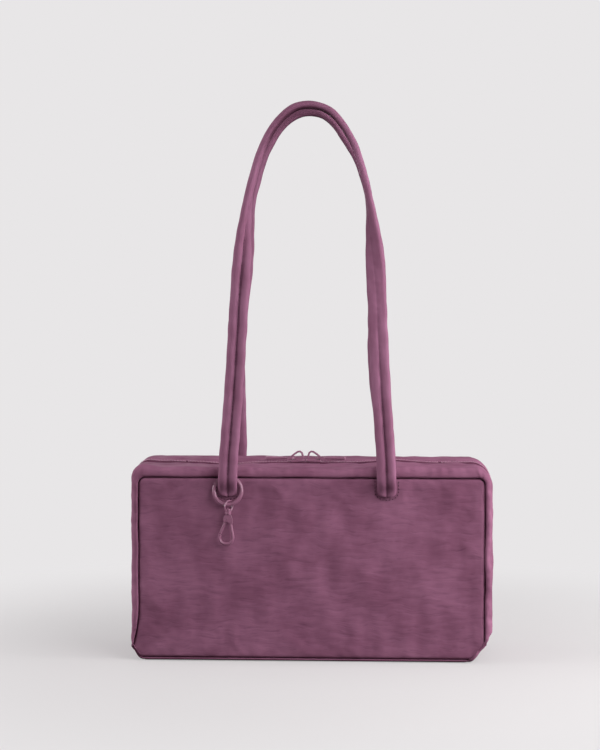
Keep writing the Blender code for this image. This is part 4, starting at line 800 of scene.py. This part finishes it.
# The handles
def strap_frames(side):
    """A handle from tip to tip: its path, the directions across and out of the strap, and its
    thickness. Across the strap is level at the feet and turns a quarter on the way up, so that
    the arch shows its edge."""
    apex = APEX_Z - (0 if side < 0 else BACK_DROP)
    route = np.array(ROUTE_SHARES) * (HALF_SPAN, apex - SEWN_TOP) + (0, SEWN_TOP)
    tips = (-HALF_SPAN, FOOT_BOTTOM), (HALF_SPAN, FOOT_BOTTOM)
    line = smooth_line(np.vstack([tips[0], route * (-1, 1), route[-2::-1], tips[1]]), 0.0015)
    x, z = line[:, 0], line[:, 1]
    depth = FOOT_DEPTH + (STRAP_DEPTH - FOOT_DEPTH) * ramp(z - SEWN_TOP, 2 * STAND_RISE)
    foot = FACE + GAP + FOOT_DEPTH / 2
    off = step_up((z - SEWN_TOP + 0.0045) / (STAND_RISE + 0.0045))
    lean = ramp(z - SEWN_TOP - STAND_RISE, apex - SEWN_TOP - STAND_RISE)
    y = foot + STAND_OFF * off + (APEX_Y - foot - STAND_OFF) * lean
    if side > 0:
        # the back handle sways sideways
        left = -0.0066 * hump(z, 0.265, 0.065)
        right = -0.0030 * hump(z, 0.245, 0.045) + 0.0012 * hump(z, 0.345, 0.04)
        right = right - 0.0028 * hump(z, 0.445, 0.018)
        x = x + np.where(x < 0, left, right) * ramp(z - 0.165, 0.03)
    path = np.stack([x + HANDLE_X, side * y, z], axis=1)
    along = np.gradient(path, axis=0)
    along /= np.linalg.norm(along, axis=1, keepdims=True)
    outward = np.array((0, side, 0))
    face = outward - (along @ outward)[:, None] * along
    face /= np.linalg.norm(face, axis=1, keepdims=True)
    inward = np.cross(along, face)
    middle = np.array((HANDLE_X, 0, FOLD_Z))
    inward *= np.where(np.sum(inward * (middle - path), axis=1) < 0, -1, 1)[:, None]
    rise = (z - SEWN_TOP) / (apex - SEWN_TOP)
    turn = step_up((rise - 0.5) / 0.3)[:, None] * pi / 2
    wide = np.cos(turn) * inward - np.sin(turn) * face
    thick = np.cos(turn) * face + np.sin(turn) * inward
    hand = np.where(np.sum(np.cross(wide, thick) * along, axis=1) < 0, -1, 1)[:, None]
    return path, wide * hand, thick, depth
def lobes(count=21):
    """The strap's section: an ellipse for each padded lobe, open towards the middle, where a
    narrow groove joins them on both faces."""
    turn = np.linspace(-radians(152), radians(152), count)
    right = np.stack([0.52 + 0.48 * np.cos(turn), np.sin(turn)], axis=1)
    left = right * (-1, -1)
    return np.vstack([right, [(0, 0.30)], left, [(0, -0.30)]])


for face, side in FACES:
    path, wide, thick, depth = strap_frames(side)
    gone = run_length(path)
    tip = np.minimum(gone, gone[-1] - gone)
    narrow = (1 - (1 - ramp(tip, 0.0065)) ** 2.3) ** (1 / 2.3)
    shallow = np.sqrt(1 - (1 - ramp(tip, 0.0024)) ** 2)
    section = lobes()
    from_middle = np.abs(section[:, 0])
    girth = run_length(np.vstack([section, section[:1]]) * (STRAP_WIDTH / 2, STRAP_DEPTH / 2))
    w = section[None, :, 0] * (STRAP_WIDTH / 2 * narrow)[:, None]
    # the front handle's right side is pulled smooth, with hardly a groove
    smooth = (0.8 if side < 0 else 0.0) * step_up((path[:, 0] - HANDLE_X - 0.02) / 0.03)
    smooth = smooth * step_up((path[:, 2] - 0.19) / 0.12)
    even = np.sign(section[:, 1]) * np.sqrt(1 - np.minimum(from_middle, 1) ** 2)
    near = np.clip(2 - from_middle / 0.45, 0, 1)
    tall = section[None, :, 1] + (smooth[:, None] * near * (even - section[:, 1]))
    t = tall * (depth / 2 * shallow)[:, None]
    points = path[:, None] + w[..., None] * wide[:, None] + t[..., None] * thick[:, None]
    groove = np.exp(-((section[:, 0] / 0.35) ** 2))[None]
    soft = 0.00013 * waves(gone[:, None], girth[None, :-1], 51, (0.012, 0.035), (0.01, 0.03))
    puckers = waves(gone[:, None], 0 * girth[None, :-1], 52, (0.005, 0.011), (1, 2))
    soft = soft + 0.00016 * groove * puckers
    points = lift(points, -soft * ramp(tip, 0.004)[:, None], wrap=True)
    uv = np.stack(np.broadcast_arrays(gone[:, None], girth[None]), axis=2)
    # painted shade in the groove between the two lobes, weaker where the strap is pulled smooth
    dark = np.clip(1 - from_middle / 0.10, 0, 1)[None] * (0.45 - 0.4 * smooth[:, None])
    # near the apex the faces that the two handles turn to each other lie in shadow
    facing = section[:, 1] * (1 if side < 0 else -0.5)
    arch = ramp(path[:, 2] - 0.425, 0.02)[:, None]
    dark = np.maximum(dark, 0.75 * arch * np.clip(facing * 1.6 - 0.25, 0, 1)[None])
    kinds = f"handle_foot_{face}", f"{face}_handle_cord"
    ends = [f"{kind}_{hand}" for kind in kinds for hand in ("left", "right")]
    strap = piece(
        f"padded_handle_{face}", [patch(points, uv, wrap=True, dark=dark)], [STRAP_NYLON],
        replaced=[f"{face}_handle_sleeve", *ends], weld=1e-6,
    )
    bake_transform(strap)


# The lining
def lining_grid():
    """An open tub: rounded rectangles in plan, drawn in at the base, and a flat floor."""
    half_x, half_y = 0.1483, FACE - FABRIC - GAP - FOAM - GAP - 0.0011
    base, top, bend = FABRIC + GAP + 0.002 + GAP, 0.157, 0.012
    turn = np.linspace(0, pi / 2, 6)
    down = np.linspace(top, base + bend, 30)[:-1]
    z = np.concatenate([down, base + bend * (1 - np.sin(turn))])
    inward = np.concatenate([0 * down, bend * (1 - np.cos(turn))])
    shoulder = ramp(z - 0.142, 0.015) ** 2 * 0.0030
    # round the plan: the signs of x and y, and the turn in its corner
    quarter = np.linspace(0, pi / 2, 7)
    corners = []
    for k, (sx, sy) in enumerate(((1, 1), (-1, 1), (-1, -1), (1, -1))):
        corners.append(np.stack([np.full(7, sx), np.full(7, sy), quarter + k * pi / 2], axis=1))
    corners = np.vstack(corners + [corners[0][:1]])
    loop = []
    for a, b in zip(corners[:-1], corners[1:]):
        steps = 60 if a[0] != b[0] else (18 if a[1] != b[1] else 1)
        f = np.arange(steps)[:, None] / steps
        loop.append(a + (b - a) * f if steps > 1 else a[None])
    loop = np.vstack(loop)
    sign_x, sign_y, turn = loop[None, :, 0], loop[None, :, 1], loop[None, :, 2]
    radius = np.maximum(0.009 - inward, 0.003)[:, None]
    x = sign_x * (half_x - (inward + shoulder)[:, None] - radius) + radius * np.cos(turn)
    y = sign_y * (half_y - inward[:, None] - radius) + radius * np.sin(turn)
    z = z[:, None] + 0 * x
    points = np.stack([draw_in(x, z, 1), y, z], axis=2)
    low = np.linspace(1, 0.02, 12)[1:, None, None]
    floor = points[-1:] * np.concatenate([low, low, low * 0 + 1], axis=2)
    return np.concatenate([points, floor])

points = lining_grid()
around = run_length(np.vstack([points[0], points[0][:1]]))
height = points[..., 2]
wrinkle = 0.0004 * np.clip(height / 0.02 - 0.4, 0, 1) * (
    0.6 + 0.5 * waves(around[None, :-1] + 0 * height, height, 61, (0.02, 0.05), (0.05, 0.12))
)
points = lift(points, wrinkle, wrap=True)
piece(
    "lining_bag", [patch(points, wrap=True, flip=True)], [TAFFETA], "bag",
    ["lining"], weld=1e-5,
)


# Seams that show their thread
def stitches(line, up, pitch=0.0027, length=0.0017, radius=0.00028):
    """Thread along a line: each stitch is a short round bar, bowed up in its middle."""
    gone = run_length(line)
    start = np.arange(pitch / 2, gone[-1] - length, pitch)
    share = np.array([0, 0.08, 0.3, 0.5, 0.7, 0.92, 1])
    at = start[:, None] + length * share
    centre = np.stack([np.interp(at, gone, values) for values in line.T], axis=2)
    raised = np.stack([np.interp(at, gone, values) for values in up.T], axis=2)
    along = centre[:, -1:] - centre[:, :1]
    along = np.broadcast_to(along / np.linalg.norm(along, axis=2, keepdims=True), centre.shape)
    beside = np.cross(along, raised)
    size = radius * np.array([0.05, 0.75, 1, 1, 1, 0.75, 0.05])[None, :, None, None]
    centre = centre + raised * (radius * (np.sin(share * pi) - 0.35))[None, :, None]
    turn = (2 * pi * np.arange(6) / 6)[None, None, :, None]
    ring = beside[:, :, None] * np.cos(turn) + raised[:, :, None] * np.sin(turn)
    return centre[:, :, None] + size * ring


for face, side in FACES:
    # a seam in the shape of a U round each foot, and one row along each face of the strap
    bars = []
    for hand in (-1, 1):
        centre = HANDLE_X + hand * HALF_SPAN
        turn = np.linspace(0, pi, 30)
        reach, top = STRAP_WIDTH / 2 + 0.0019, 0.1548
        x = np.concatenate([[centre - reach], centre - reach * np.cos(turn), [centre + reach]])
        low = FOOT_BOTTOM + 0.0062 - 0.0082 * np.sin(turn) ** 0.8
        line = smooth_line(np.stack([x, np.concatenate([[top], low, [top]])], axis=1), 0.0005)
        y = np.full(len(line), side * (FACE + 0.0001))
        line = np.stack([line[:, 0], y, line[:, 1]], axis=1)
        out = np.broadcast_to((0.0, side, 0.0), line.shape)
        bars.append(patch(stitches(line, out), wrap=True, flip=True))
    piece(f"foot_stitches_{face}", bars, [THREAD], "bag")
    path, _, thick, depth = strap_frames(side)
    keep = slice(12, -12)
    rows = []
    for over in (-1, 1):
        line = path + thick * (over * depth * 0.15 + over * 0.0001)[:, None]
        thread = stitches(line[keep], over * thick[keep], radius=0.00022)
        rows.append(patch(thread, wrap=True, flip=True))
    seam = piece(f"handle_stitches_{face}", rows, [THREAD])
    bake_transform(seam)


# Painted metal and the board keep their CAD solids
METAL = (
    "left_slider_body", "right_slider_body", "left_pull", "right_pull", "ring_body", "ring_gate",
    "ring_gate_rivet", "clasp_eye", "swivel_rivet", "clasp_hook", "clasp_gate", "gate_rivet",
    "gate_spring",
)
for name in METAL:
    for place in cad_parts[name].material_slots:
        place.material = PAINTED_ZINC
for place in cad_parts["base_board"].material_slots:
    place.material = FIBRE_BOARD


# Stage, light and camera
BACKDROP = "#E8E6E7"


def stage():
    """A pale floor that turns up into a backdrop far behind the bag. The bag's light bounces off a
    darker paper than the camera sees, and away from the bag the camera sees the backdrop's own
    colour. Near the bag the paper also glows partly in that colour, painted light that lightens
    the bag's shadow on it."""
    across = np.linspace(-4, 4, 3)
    turn = np.linspace(0, pi / 2, 9)
    y = np.concatenate([[-3, 0], 2.5 + np.sin(turn), [3.5]])
    z = np.concatenate([[0, 0], 1 - np.cos(turn), [5]])
    points = np.stack(np.broadcast_arrays(across[None], y[:, None], z[:, None]), axis=2)
    mesh = bpy.data.meshes.new("floor")
    paper = patch(points, flip=True)
    mesh.from_pydata(paper["points"].tolist(), [], paper["quads"].tolist())
    mesh.shade_smooth()
    floor = bpy.data.objects.new("floor", mesh)
    bpy.context.scene.collection.objects.link(floor)
    made, tree, shader = new_finish("paper backdrop, matte", Roughness=0.9)
    shader.inputs["Specular IOR Level"].default_value = 0.0
    seen = add(tree, "ShaderNodeLightPath").outputs["Is Camera Ray"]
    colour = mixed(tree, seen, linear("#605D5E"), linear("#C3BFC0"))
    tree.links.new(colour, shader.inputs["Base Color"])
    place = add(tree, "ShaderNodeTexCoord").outputs["Object"]
    stretched = add(tree, "ShaderNodeMapping", {0: place, "Scale": (1.0, 1.0, 0.5)})
    away = add(tree, "ShaderNodeVectorMath", {0: stretched.outputs[0]}, operation="LENGTH")
    # painted light: near the bag 42 % of the paper's colour glows, which lightens the bag's shadow
    glow_share = ranged(tree, away.outputs["Value"], 0.19, 0.55, 0.42, 1)
    share = calculate(tree, "MULTIPLY", glow_share, seen)
    plain = add(tree, "ShaderNodeEmission", {"Color": linear(BACKDROP), "Strength": 1})
    surfaces = {0: share, 1: shader.outputs[0], 2: plain.outputs[0]}
    surface = add(tree, "ShaderNodeMixShader", surfaces)
    tree.links.new(surface.outputs[0], tree.nodes["Material Output"].inputs["Surface"])
    mesh.materials.append(made)


def area_light(name, place, target, size, power):
    """A white square lamp at a place, turned towards its target."""
    data = bpy.data.lights.new(name, "AREA")
    data.shape, data.size, data.energy = "SQUARE", size, power
    lamp = bpy.data.objects.new(name, data)
    lamp.location = place
    lamp.rotation_euler = (Vector(target) - Vector(place)).to_track_quat("-Z", "Y").to_euler()
    bpy.context.scene.collection.objects.link(lamp)


stage()
area_light("key", (0.50, -0.60, 0.52), (0.02, 0, 0.15), 0.6, 5.3)
area_light("left edge", (-1.20, -0.12, 0.50), (0, 0, 0.12), 0.6, 12)
area_light("right edge", (1.05, -0.16, 0.34), (0, 0, 0.12), 0.5, 13)
area_light("top", (0.25, 0.20, 1.40), (0, 0.05, 0.1), 0.9, 2)
area_light("behind", (-0.50, 1.40, 0.30), (0, 0, 0.12), 0.8, 5)

# The world lights the bag evenly, and the camera sees it in the backdrop's colour
world = bpy.data.worlds.new("studio")
bpy.context.scene.world = world
world.use_nodes = True
tree = world.node_tree
ambient = tree.nodes["Background"]
ambient.inputs["Color"].default_value = linear("#FFFFFF")
ambient.inputs["Strength"].default_value = 0.345
backdrop = add(tree, "ShaderNodeBackground", {0: linear(BACKDROP), 1: 1.0})
seen = add(tree, "ShaderNodeLightPath").outputs["Is Camera Ray"]
shown = {0: seen, 1: ambient.outputs[0], 2: backdrop.outputs[0]}
sky = add(tree, "ShaderNodeMixShader", shown)
tree.links.new(sky.outputs[0], tree.nodes["World Output"].inputs["Surface"])

camera = bpy.data.cameras.new("camera")
camera.sensor_fit, camera.sensor_width, camera.lens = "AUTO", 36, 92.16
eye = bpy.data.objects.new("camera", camera)
eye.location = (0.0657, -1.645, 0.322)
eye.rotation_euler = (radians(87.13), 0, radians(2.68))
bpy.context.scene.collection.objects.link(eye)
bpy.context.scene.camera = eye
bpy.context.scene.view_settings.view_transform = "Standard"
